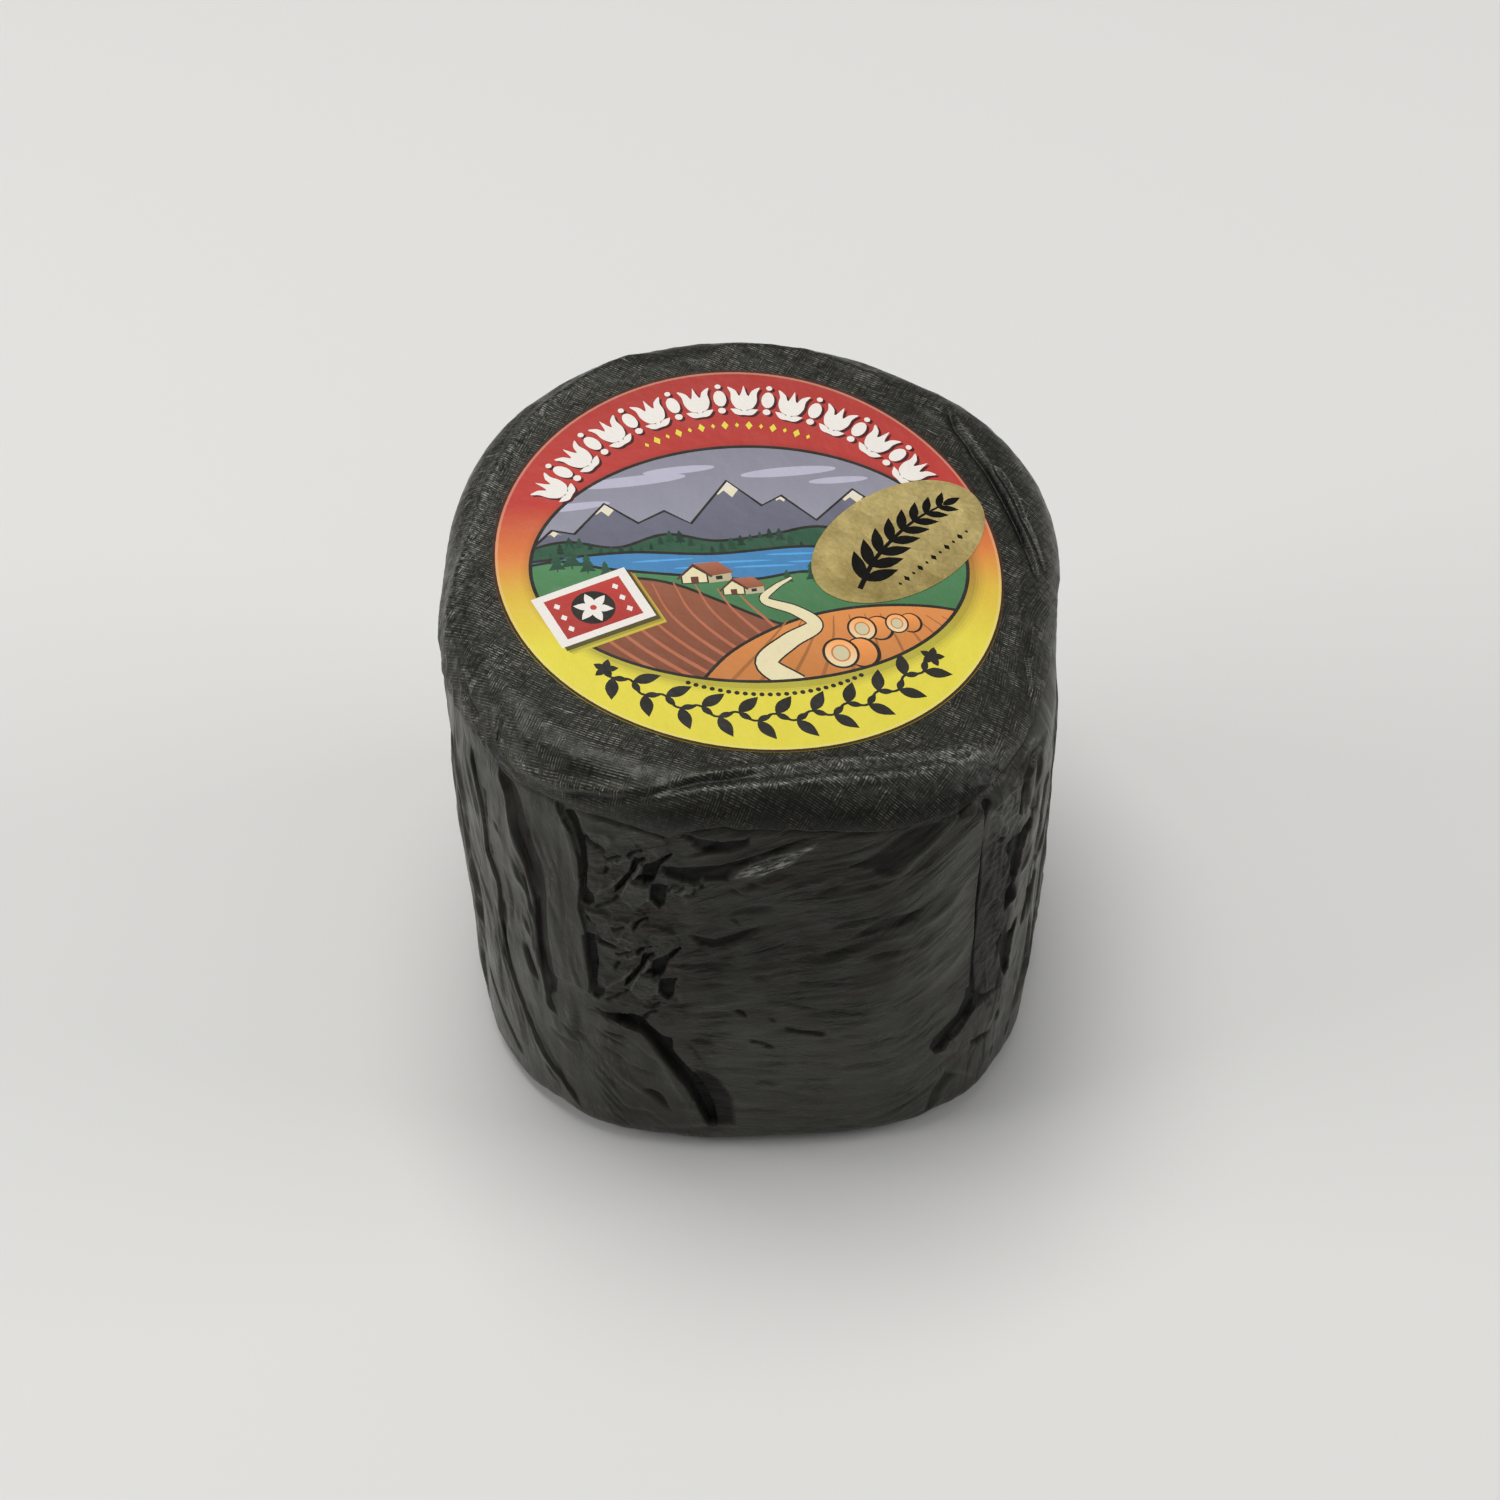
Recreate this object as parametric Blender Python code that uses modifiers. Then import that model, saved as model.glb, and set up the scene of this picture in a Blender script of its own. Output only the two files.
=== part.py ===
"""A small tall wheel of hard cheese, shut in dark foil, with a round paper label and an oval foil sticker.

The wrapped wheel is one solid. A profile is turned into a round body, and each of its points is then
moved to the wheel's squarish plan, its slanting top and the folds of its wrapper. The label and the
sticker are thin turned discs that are laid on that top. Metres, +Z up, with the origin in the middle
of the flat base and the label's lower edge toward -Y.
"""

import math
from collections import namedtuple

import bpy
import numpy as np

# The wheel under its wrapper
WHEEL_RADIUS = 0.0528
FOOT_BODY_RADIUS = 0.0524
WHEEL_HEIGHT = 0.0923
SHOULDER_RADIUS = 0.0072
FOOT_RADIUS = 0.0045
TOP_SLOPE_X = -0.0940
TOP_SLOPE_Y = 0.0473
TOP_SADDLE = -0.0392
TOP_TWIST = 0.0180
TOP_DOME = 0.0005

# Waves round the plan at the top and at the foot: how many, and their cosine and sine as shares
# of the radius
TOP_WAVES = ((2, -0.0140, 0.0064), (3, -0.0067, -0.0045), (4, -0.0364, 0.0064), (5, -0.0063, 0.0075),
             (6, -0.0063, 0.0036))
FOOT_WAVES = ((2, -0.0011, 0.0003), (3, 0.0083, 0.0017), (4, -0.0371, 0.0061), (5, -0.0011, 0.0069),
              (6, 0.0022, 0.0042))

# The label and the sticker on it
LABEL_RADIUS = 0.0412
LABEL_CENTRE = (-0.0011, 0.0009)
LABEL_THICKNESS = 0.00030
STICKER_HALF_LENGTH = 0.01740
STICKER_HALF_WIDTH = 0.01020
STICKER_TURN = 43.8
STICKER_CENTRE = (0.0232, 0.0063)
STICKER_THICKNESS = 0.00030
GAP = 0.00030
SEAT_EDGE = 0.0008
SEAT_SLOPE = 0.0024

# How finely the bodies are turned
WHEEL_STEPS = 132
SIDE_RINGS = 22
SHOULDER_RINGS = 6
FOOT_RINGS = 4
LABEL_STEPS = 64
LABEL_RINGS = 6
STICKER_STEPS = 40
STICKER_RINGS = 3

# Distances down the skin, measured from the middle of the top
SHOULDER_WAY = WHEEL_RADIUS - SHOULDER_RADIUS
SIDE_WAY = SHOULDER_WAY + SHOULDER_RADIUS * math.pi / 2
FOOT_WAY = SIDE_WAY + WHEEL_HEIGHT - SHOULDER_RADIUS - FOOT_RADIUS
BASE_WAY = FOOT_WAY + FOOT_RADIUS * math.pi / 2

# The hem of the embossed top sheet, which laps over the side: angle in degrees, way down the skin
HEM_ROUTE = (
    (0, 0.0545), (45, 0.0560), (90, 0.0590), (150, 0.0585), (196, 0.0670), (214, 0.0620), (236, 0.0578),
    (254, 0.0585), (262, 0.0562), (294, 0.0551), (309, 0.0535), (319, 0.0520), (332, 0.0536),
)
HEM_RISE = 0.0005
HEM_WIDTH = 0.0016
HEM_START_WAY = 0.0455
HEM_FULL_WAY = 0.0520

# An upright fold of the wrapper: its route as (angle, way), its first and last way, how high its
# edge stands, how far its lap runs, and which side of the crease the lap is on
UprightFold = namedtuple("UprightFold", "route first last rise lap side")
CREASE_WIDTH = 0.0011
CREASE_SHARE = 0.8
FADE = 0.0050

SHOWN_FOLDS = (
    UprightFold(
        ((213.5, 0.064), (217.8, 0.078), (220.0, 0.100), (222.0, 0.117), (231.5, 0.130), (236.0, 0.136)),
        0.058, 0.137, 0.0009, 0.0070, -1,
    ),
    UprightFold(
        ((224.6, 0.058), (228.9, 0.072), (231.1, 0.088), (231.3, 0.108), (238.0, 0.122), (246.0, 0.136)),
        0.056, 0.111, 0.0012, 0.0060, -1,
    ),
    UprightFold(
        ((236.0, 0.057), (239.5, 0.070), (240.4, 0.100), (246.5, 0.106), (253.0, 0.111), (261.0, 0.135)),
        0.056, 0.137, 0.0013, 0.0075, -1,
    ),
    UprightFold(
        ((309.0, 0.055), (309.4, 0.090), (309.5, 0.106), (305.5, 0.111), (302.0, 0.119), (300.5, 0.137)),
        0.053, 0.137, 0.0011, 0.0080, -1,
    ),
    UprightFold(
        ((323.5, 0.060), (320.0, 0.083), (322.0, 0.096), (318.0, 0.111), (314.0, 0.136)),
        0.062, 0.130, 0.0010, 0.0060, 1,
    ),
    UprightFold(
        ((338.0, 0.060), (335.0, 0.082), (329.4, 0.094), (327.0, 0.112), (324.0, 0.123), (321.0, 0.136)),
        0.057, 0.136, 0.0009, 0.0070, 1,
    ),
)
BACK_TURN = 178.0
BACK_RISE = 0.9
SIDE_FOLD_TURNS = (172.0, 186.0, 199.5, 352.0, 6.0, 19.5)
SIDE_FOLD_DRIFT = 5.0

# Ridges of the top sheet round the shoulder: angle and way along each, its rise and its half width
LevelRidge = namedtuple("LevelRidge", "route rise width")
RIDGE_END_TURN = 8.0
SHOULDER_RIDGES = (
    LevelRidge(((225, 0.0520), (258, 0.0476), (285, 0.0440), (314, 0.0466), (335, 0.0500)), 0.0006, 0.0011),
    LevelRidge(((215, 0.0580), (238, 0.0540), (258, 0.0508), (284, 0.0480), (303, 0.0478)), 0.0008, 0.0013),
    LevelRidge(((5, 0.0480), (18, 0.0466), (30, 0.0452), (41, 0.0458), (52, 0.0500)), -0.0008, 0.0011),
    LevelRidge(((120, 0.0500), (150, 0.0470), (178, 0.0490), (200, 0.0530)), 0.0006, 0.0013),
)

# Crumples: where two folds meet, the foil is pinched into pockets. Each has its place beside the
# middle of the crumple (turn in degrees, way), its half sizes across and along, and its rise
Pinch = namedtuple("Pinch", "turn way across along rise")
CRUMPLE = (
    Pinch(0.2, -0.0030, 0.0016, 0.0032, -0.0014),
    Pinch(2.4, 0.0035, 0.0015, 0.0028, -0.0014),
    Pinch(-2.1, 0.0040, 0.0021, 0.0032, 0.0010),
    Pinch(-5.4, -0.0010, 0.0018, 0.0045, 0.0007),
    Pinch(4.4, -0.0060, 0.0035, 0.0018, 0.0007),
)
SHOWN_CRUMPLES = ((251.0, 0.0700), (252.0, 0.0948), (318.0, 0.0765), (317.0, 0.0985))

# Columns of the turned body are drawn close beside each fold and, less so, at the crumples
CROWDING = 3.0
CROWDING_TURN = 1.3
CRUMPLE_CROWDING = 1.5
CRUMPLE_CROWDING_TURN = 4.0


def eased(low, high, values):
    """A smooth step from 0 at low to 1 at high."""
    share = np.clip((values - low) / (high - low), 0.0, 1.0)
    return share * share * (3.0 - 2.0 * share)


def turned_from(home, angle):
    """The turn from home to angle, in degrees from -180 to 180."""
    return (angle - home + 180.0) % 360.0 - 180.0


def bell(values, width):
    """A smooth bump, 1 in the middle."""
    return np.exp(-((values / width) ** 2))


def all_upright_folds():
    """The shown folds, their like on the back, and the long folds at the two sides between them."""
    folds = list(SHOWN_FOLDS)
    for fold in SHOWN_FOLDS:
        route = tuple((angle + BACK_TURN, way) for angle, way in fold.route)
        folds.append(fold._replace(route=route, rise=fold.rise * BACK_RISE))
    for number, turn in enumerate(SIDE_FOLD_TURNS):
        drift = SIDE_FOLD_DRIFT * math.cos(2.4 * number)
        route = ((turn, 0.058), (turn + 0.5 * drift, 0.085), (turn + drift, 0.136))
        side = -1 if number % 2 else 1
        folds.append(UprightFold(route, 0.057 + 0.002 * (number % 3), 0.138, 0.0008, 0.0060, side))
    return sorted(folds, key=home_angle)


def all_crumples():
    """The shown crumples and their like on the back."""
    return SHOWN_CRUMPLES + tuple((angle + BACK_TURN, way) for angle, way in SHOWN_CRUMPLES)


def home_angle(fold):
    """The fold's angle halfway down its route, from 0 to 360."""
    return fold_angle(fold, 0.5 * (fold.route[0][1] + fold.route[-1][1])) % 360.0


def fold_angle(fold, way):
    """The angle at which a fold runs, this far down the skin."""
    angles = [angle for angle, _ in fold.route]
    ways = [way_down for _, way_down in fold.route]
    return np.interp(way, ways, angles)


def upright_relief(fold, angle, way):
    """A sharp crease with the lap's edge standing beside it and falling away slowly."""
    turn = turned_from(fold_angle(fold, way), angle)
    across = fold.side * np.radians(turn) * WHEEL_RADIUS
    crease = bell(across + 0.5 * CREASE_WIDTH, CREASE_WIDTH) * -CREASE_SHARE
    lap = eased(-0.5 * CREASE_WIDTH, 0.5 * CREASE_WIDTH, across)
    lap = lap * np.exp(-np.clip(across, 0.0, None) / fold.lap)
    start = eased(fold.first - FADE, fold.first + FADE, way)
    end = 1.0 - eased(fold.last - FADE, fold.last + FADE, way)
    return fold.rise * (crease + lap) * start * end


def ridge_relief(ridge, angle, way):
    """A rounded ridge or groove that runs round the wheel and dies away at its two ends."""
    first = ridge.route[0][0]
    turn = (angle - first) % 360.0
    turns = [(place - first) % 360.0 for place, _ in ridge.route]
    middle = np.interp(turn, turns, [way_down for _, way_down in ridge.route])
    start = eased(0.0, RIDGE_END_TURN, turn)
    end = 1.0 - eased(turns[-1] - RIDGE_END_TURN, turns[-1], turn)
    return ridge.rise * bell(way - middle, ridge.width) * start * end


def pinch_relief(pinch, crumple, angle, way):
    """One dent or pillow of a crumple."""
    across = np.radians(turned_from(crumple[0] + pinch.turn, angle)) * WHEEL_RADIUS
    along = way - crumple[1] - pinch.way
    return pinch.rise * bell(across, pinch.across) * bell(along, pinch.along)


def hem_way(angle):
    """The way down the skin of the top sheet's hem."""
    angles = [place for place, _ in HEM_ROUTE]
    ways = [way for _, way in HEM_ROUTE]
    return np.interp(angle % 360.0, angles, ways, period=360.0)


def wrapper_relief(angle, way):
    """How far the wrapper stands out of the smooth wheel, by angle and way down the skin."""
    over_hem = 1.0 - eased(-HEM_WIDTH, 0.0, way - hem_way(angle))
    relief = HEM_RISE * (over_hem - 0.5) * eased(HEM_START_WAY, HEM_FULL_WAY, way)
    for fold in all_upright_folds():
        relief = relief + upright_relief(fold, angle, way)
    for ridge in SHOULDER_RIDGES:
        relief = relief + ridge_relief(ridge, angle, way)
    for crumple in all_crumples():
        for pinch in CRUMPLE:
            relief = relief + pinch_relief(pinch, crumple, angle, way)
    return relief * (1.0 - eased(FOOT_WAY + 0.5 * FOOT_RADIUS, BASE_WAY, way))


def top_height(x, y):
    """The height of the wheel's slanting, slightly saddle-shaped top."""
    slope = TOP_SLOPE_X * x + TOP_SLOPE_Y * y
    saddle = (TOP_SADDLE * (x * x - y * y) + TOP_TWIST * x * y) / WHEEL_RADIUS
    dome = TOP_DOME * (1.0 - np.clip(np.hypot(x, y) / WHEEL_RADIUS, 0.0, 1.0) ** 2)
    return WHEEL_HEIGHT + slope + saddle + dome


def skin_way(radius, height):
    """The way down the skin of a point on the plain turned body."""
    over_shoulder = SHOULDER_WAY + SHOULDER_RADIUS * np.arctan2(
        radius - SHOULDER_WAY, height - (WHEEL_HEIGHT - SHOULDER_RADIUS)
    )
    down_side = SIDE_WAY + WHEEL_HEIGHT - SHOULDER_RADIUS - height
    round_foot = FOOT_WAY + FOOT_RADIUS * np.arctan2(
        FOOT_RADIUS - height, radius - (WHEEL_RADIUS - FOOT_RADIUS)
    )
    across_base = BASE_WAY + WHEEL_RADIUS - FOOT_RADIUS - radius
    small = 1e-6
    return np.select(
        [
            (height > WHEEL_HEIGHT - small),
            (height > WHEEL_HEIGHT - SHOULDER_RADIUS),
            (height > FOOT_RADIUS),
            (height > small),
        ],
        [radius, over_shoulder, down_side, round_foot],
        across_base,
    )


def column_angle(angle, way, folds):
    """Where a column of the turned body goes: crowded beside the folds, and leaning as they lean."""
    homes = np.array([home_angle(fold) for fold in folds])
    fine = np.linspace(0.0, 360.0, 1441)
    density = np.ones_like(fine)
    for home in homes:
        density = density + CROWDING * bell(turned_from(home, fine), CROWDING_TURN)
    for crumple_angle, _ in all_crumples():
        turn = turned_from(crumple_angle, fine)
        density = density + CRUMPLE_CROWDING * bell(turn, CRUMPLE_CROWDING_TURN)
    steps = 0.5 * (density[1:] + density[:-1])
    share = np.concatenate([[0.0], np.cumsum(steps)]) * 360.0 / steps.sum()
    bunched = np.interp(angle, share, fine)
    leans = np.array([turned_from(home_angle(fold), fold_angle(fold, way)) for fold in folds])
    after = np.searchsorted(homes, bunched) % len(homes)
    before = (after - 1) % len(homes)
    gap = (homes[after] - homes[before]) % 360.0
    part = ((bunched - homes[before]) % 360.0) / gap
    each = np.arange(len(bunched))
    return bunched + (1.0 - part) * leans[before, each] + part * leans[after, each]


def wave_share(plan_waves, turn):
    """The radius of a wavy plan at a turn in radians, as a share of the plain circle's."""
    share = np.ones_like(turn)
    for waves, cosine, sine in plan_waves:
        share = share + cosine * np.cos(waves * turn) + sine * np.sin(waves * turn)
    return share


def wrapped_wheel_points(points):
    """Moves the points of the plain turned body to the wrapped wheel's form."""
    radius = np.hypot(points[:, 0], points[:, 1])
    angle = np.degrees(np.arctan2(points[:, 1], points[:, 0])) % 360.0
    height = points[:, 2]
    way = skin_way(radius, height)
    angle = column_angle(angle, way, all_upright_folds())
    turn = np.radians(angle)

    over_shoulder = np.clip((way - SHOULDER_WAY) / SHOULDER_RADIUS, 0.0, math.pi / 2)
    round_foot = np.clip((way - FOOT_WAY) / FOOT_RADIUS, 0.0, math.pi / 2)
    outward = np.sin(over_shoulder) * np.cos(round_foot)
    upward = np.cos(over_shoulder) - np.sin(round_foot)

    up_share = np.clip(height / WHEEL_HEIGHT, 0.0, 1.0)
    foot_spread = FOOT_BODY_RADIUS / WHEEL_RADIUS * wave_share(FOOT_WAVES, turn)
    spread = foot_spread + (wave_share(TOP_WAVES, turn) - foot_spread) * up_share
    from_label = np.hypot(
        radius * spread * np.cos(turn) - LABEL_CENTRE[0],
        radius * spread * np.sin(turn) - LABEL_CENTRE[1],
    )
    clear = eased(LABEL_RADIUS + SEAT_EDGE, LABEL_RADIUS + SEAT_EDGE + SEAT_SLOPE, from_label)
    relief = wrapper_relief(angle, way) * clear
    seat = GAP * (1.0 - clear) * (height > WHEEL_HEIGHT - SHOULDER_RADIUS)
    radius = radius + relief * outward
    height = np.clip(height + relief * upward - seat, 0.0, None)

    x = radius * spread * np.cos(turn)
    y = radius * spread * np.sin(turn)
    z = height + up_share * (top_height(x, y) - WHEEL_HEIGHT)
    return np.column_stack([x, y, z])


def label_points(points):
    """Lays the plain disc of the label on the wheel's top."""
    x = points[:, 0] + LABEL_CENTRE[0]
    y = points[:, 1] + LABEL_CENTRE[1]
    return np.column_stack([x, y, points[:, 2] + top_height(x, y)])


def sticker_points(points):
    """Draws the plain disc of the sticker out to an oval, turns it and lays it on the label."""
    long = points[:, 0]
    short = points[:, 1] * STICKER_HALF_WIDTH / STICKER_HALF_LENGTH
    turn = math.radians(STICKER_TURN)
    x = STICKER_CENTRE[0] + long * math.cos(turn) - short * math.sin(turn)
    y = STICKER_CENTRE[1] + long * math.sin(turn) + short * math.cos(turn)
    return np.column_stack([x, y, points[:, 2] + LABEL_THICKNESS + GAP + top_height(x, y)])


def arc(centre_radius, centre_height, radius, first, last, steps):
    """Profile points on a quarter turn, given as angles up from the horizontal in degrees."""
    angles = [math.radians(first + (last - first) * step / steps) for step in range(steps + 1)]
    return [(centre_radius + radius * math.cos(a), centre_height + radius * math.sin(a)) for a in angles]


def wheel_profile():
    """The turned body's outline, from the middle of the top down to the middle of the base."""
    flat = WHEEL_RADIUS - SHOULDER_RADIUS
    base = WHEEL_RADIUS - FOOT_RADIUS
    side_top = WHEEL_HEIGHT - SHOULDER_RADIUS
    side_step = (side_top - FOOT_RADIUS) / SIDE_RINGS
    outline = [(share * flat, WHEEL_HEIGHT) for share in (0.0, 0.3, 0.6, 0.85, 0.93)]
    outline += arc(flat, side_top, SHOULDER_RADIUS, 90, 0, SHOULDER_RINGS)
    outline += [(WHEEL_RADIUS, side_top - ring * side_step) for ring in range(1, SIDE_RINGS)]
    outline += arc(base, FOOT_RADIUS, FOOT_RADIUS, 0, -90, FOOT_RINGS)
    outline += [(0.5 * base, 0.0), (0.0, 0.0)]
    return outline


def disc_profile(radius, thickness, rings):
    """A thin disc's outline, from the middle of its upper face round to the middle of its lower face."""
    upper = [(radius * ring / rings, thickness) for ring in range(rings + 1)]
    lower = [(radius * ring / rings, 0.0) for ring in range(rings, -1, -1)]
    return upper + lower


def turned_mesh(name, outline, steps):
    """Turns an outline of (radius, height) points about Z and returns the closed mesh."""
    profile = bpy.data.meshes.new(name + "_profile")
    points = [(radius, 0.0, height) for radius, height in outline]
    edges = [(index, index + 1) for index in range(len(points) - 1)]
    profile.from_pydata(points, edges, [])
    turned = bpy.data.objects.new(name + "_profile", profile)
    bpy.context.scene.collection.objects.link(turned)
    screw = turned.modifiers.new("Turn", "SCREW")
    screw.axis = "Z"
    screw.angle = 2 * math.pi
    screw.steps = steps
    screw.render_steps = steps
    screw.use_merge_vertices = True
    screw.merge_threshold = 0.00001
    bpy.context.view_layer.update()
    evaluated = turned.evaluated_get(bpy.context.evaluated_depsgraph_get())
    mesh = bpy.data.meshes.new_from_object(evaluated)
    bpy.data.objects.remove(turned)
    bpy.data.meshes.remove(profile)
    return mesh


def material(name, colour, roughness, metallic):
    """A plain finish of one colour."""
    finish = bpy.data.materials.new(name)
    finish.use_nodes = True
    shader = finish.node_tree.nodes["Principled BSDF"]
    shader.inputs["Base Color"].default_value = (*colour, 1.0)
    shader.inputs["Roughness"].default_value = roughness
    shader.inputs["Metallic"].default_value = metallic
    return finish


def add_piece(name, outline, steps, place, finish, collection):
    """Turns an outline, moves its points with place, and adds the object that holds it."""
    mesh = turned_mesh(name, outline, steps)
    mesh.name = name
    points = np.empty(len(mesh.vertices) * 3)
    mesh.vertices.foreach_get("co", points)
    mesh.vertices.foreach_set("co", place(points.reshape(-1, 3)).ravel())
    mesh.materials.append(finish)
    mesh.shade_smooth()
    mesh.update()
    piece = bpy.data.objects.new(name, mesh)
    collection.objects.link(piece)
    return piece


def main():
    for old in list(bpy.data.objects):
        bpy.data.objects.remove(old)
    collection = bpy.data.collections.new("wrapped_cheese_wheel")
    bpy.context.scene.collection.children.link(collection)

    foil = material("dark_foil", (0.035, 0.035, 0.032), 0.45, 0.6)
    paper = material("printed_paper", (0.75, 0.50, 0.07), 0.35, 0.0)
    gold = material("gold_foil", (0.45, 0.34, 0.13), 0.35, 0.8)

    add_piece("wrapped_wheel", wheel_profile(), WHEEL_STEPS, wrapped_wheel_points, foil, collection)
    label_outline = disc_profile(LABEL_RADIUS, LABEL_THICKNESS, LABEL_RINGS)
    add_piece("round_label", label_outline, LABEL_STEPS, label_points, paper, collection)
    sticker_outline = disc_profile(STICKER_HALF_LENGTH, STICKER_THICKNESS, STICKER_RINGS)
    add_piece("oval_sticker", sticker_outline, STICKER_STEPS, sticker_points, gold, collection)


main()
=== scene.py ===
"""A small tall wheel of hard cheese, shut in dark foil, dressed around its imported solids.

The wrapped wheel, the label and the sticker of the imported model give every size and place. What shows
is built here: an embossed top sheet whose hem laps over a smoother side sheet, the gathers under the
base, a printed round label and an oval gold sticker. The skin of the wheel is addressed by an angle
round it and by the way down it from the middle of the top.
"""

import math
from collections import namedtuple

import bpy
import numpy as np
from bpy.props import FloatProperty, FloatVectorProperty, PointerProperty
from mathutils import Matrix, Vector, geometry


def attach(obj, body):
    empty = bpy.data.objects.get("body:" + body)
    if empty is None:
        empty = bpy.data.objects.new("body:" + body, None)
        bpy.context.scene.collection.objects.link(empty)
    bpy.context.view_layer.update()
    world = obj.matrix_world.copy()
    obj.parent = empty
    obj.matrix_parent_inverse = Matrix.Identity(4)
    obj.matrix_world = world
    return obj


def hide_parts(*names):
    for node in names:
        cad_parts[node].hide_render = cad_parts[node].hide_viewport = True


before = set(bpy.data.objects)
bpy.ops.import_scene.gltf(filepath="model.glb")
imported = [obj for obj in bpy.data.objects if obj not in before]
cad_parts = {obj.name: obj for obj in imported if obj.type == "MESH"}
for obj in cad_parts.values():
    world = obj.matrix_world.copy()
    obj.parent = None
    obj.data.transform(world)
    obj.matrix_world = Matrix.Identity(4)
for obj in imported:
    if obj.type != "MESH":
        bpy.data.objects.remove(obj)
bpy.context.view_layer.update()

bl_info = {
    "name": "Foil-wrapped cheese wheel",
    "version": (1, 0, 0),
    "blender": (4, 5, 0),
    "location": "View3D > Sidebar > Cheese wheel",
    "description": "Builds a wheel of hard cheese in dark foil, with its label, its sticker and a studio",
    "category": "Add Mesh",
}

MM = 0.001

# The corners of a square that reaches 1 each way from its middle
CORNERS = ((-1, -1), (1, -1), (1, 1), (-1, 1))

# The wheel under its wrapper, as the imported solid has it
WHEEL_RADIUS = 0.0528
FOOT_BODY_RADIUS = 0.0524
WHEEL_HEIGHT = 0.0923
SHOULDER_RADIUS = 0.0072
FOOT_RADIUS = 0.0045
TOP_SLOPE_X = -0.0940
TOP_SLOPE_Y = 0.0473
TOP_SADDLE = -0.0392
TOP_TWIST = 0.0180
TOP_DOME = 0.0005

# Waves round the plan at the top and at the foot: how many, their cosine and their sine
TOP_WAVES = (
    (2, -0.0140, 0.0064),
    (3, -0.0067, -0.0045),
    (4, -0.0364, 0.0064),
    (5, -0.0063, 0.0075),
    (6, -0.0063, 0.0036),
)
FOOT_WAVES = (
    (2, -0.0011, 0.0003),
    (3, 0.0083, 0.0017),
    (4, -0.0371, 0.0061),
    (5, -0.0011, 0.0069),
    (6, 0.0022, 0.0042),
)

# The label and the sticker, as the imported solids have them
LABEL_RADIUS = 0.0412
LABEL_CENTRE = (-0.0011, 0.0009)
STICKER_HALF_LENGTH = 0.0174
STICKER_HALF_WIDTH = 0.0102
STICKER_TURN = 43.8
STICKER_CENTRE = (0.0232, 0.0063)

# Distances down the skin, from the middle of the top
SHOULDER_WAY = WHEEL_RADIUS - SHOULDER_RADIUS
SIDE_WAY = SHOULDER_WAY + SHOULDER_RADIUS * math.pi / 2
FOOT_WAY = SIDE_WAY + WHEEL_HEIGHT - SHOULDER_RADIUS - FOOT_RADIUS
BASE_WAY = FOOT_WAY + FOOT_RADIUS * math.pi / 2

# A place on the skin is an angle in degrees and a way down it in millimetres, and a relief is how many
# millimetres something stands out of it
SKIN_RADIUS = WHEEL_RADIUS / MM
MM_PER_DEGREE = math.radians(SKIN_RADIUS)

# The top sheet's hem: the way down to it at each angle, and how far it stands out of the skin
HEM_ROUTE = (
    (0, 54.5), (45, 56.0), (90, 59.0), (150, 58.5), (190, 58.4), (198, 57.2), (206, 56.2), (214, 56.0),
    (221, 56.6), (226, 57.8), (232.4, 57.3), (238.5, 57.6), (246.3, 57.2), (252.9, 57.6), (255.2, 58.4),
    (256.8, 56.6), (264.1, 55.0), (294, 55.1), (304, 54.4), (309, 52.8), (317, 51.0), (326, 50.0),
    (334, 50.4), (345, 52.4),
)
HEM_RISE = 0.5

# The hem's lip, which closes the gap under it: rows this far past the hem and this far inward from it
HEM_LIP = ((0.10, 0.175), (0.06, 0.35), (-0.10, 0.95))

# A crease of the foil: its route over the skin, how deep and wide its groove is, how high the lap
# beside it stands and how far that runs, which side of the route the lap is on (1 is the left of an
# observer outside, for a route that runs down), how soon it dies at its ends, and how much shade is
# painted along its groove, or light where that is below 0
Crease = namedtuple("Crease", "route depth width step lap side fade dark")

# A soft wrinkle that tapers to its ends, or a soft ridge where the depth is below 0, with shade painted
# along it, or light where its dark is below 0
Wrinkle = namedtuple("Wrinkle", "route depth width dark")

# A hollow that the foil leaves between its folds, or a pillow where the depth is below 0: the route
# round it, how deep it is, how soft its edge is, and how much shade is painted in it, or light where
# that is below 0
Hollow = namedtuple("Hollow", "route depth soft dark")


def read_rows(kind, rows):
    """The rows of a table, where each row has its route last: an angle, a way, an angle, a way and so on."""
    count = len(kind._fields) - 1
    return [kind(tuple(zip(row[count::2], row[count + 1 :: 2])), *row[:count]) for row in rows]


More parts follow.
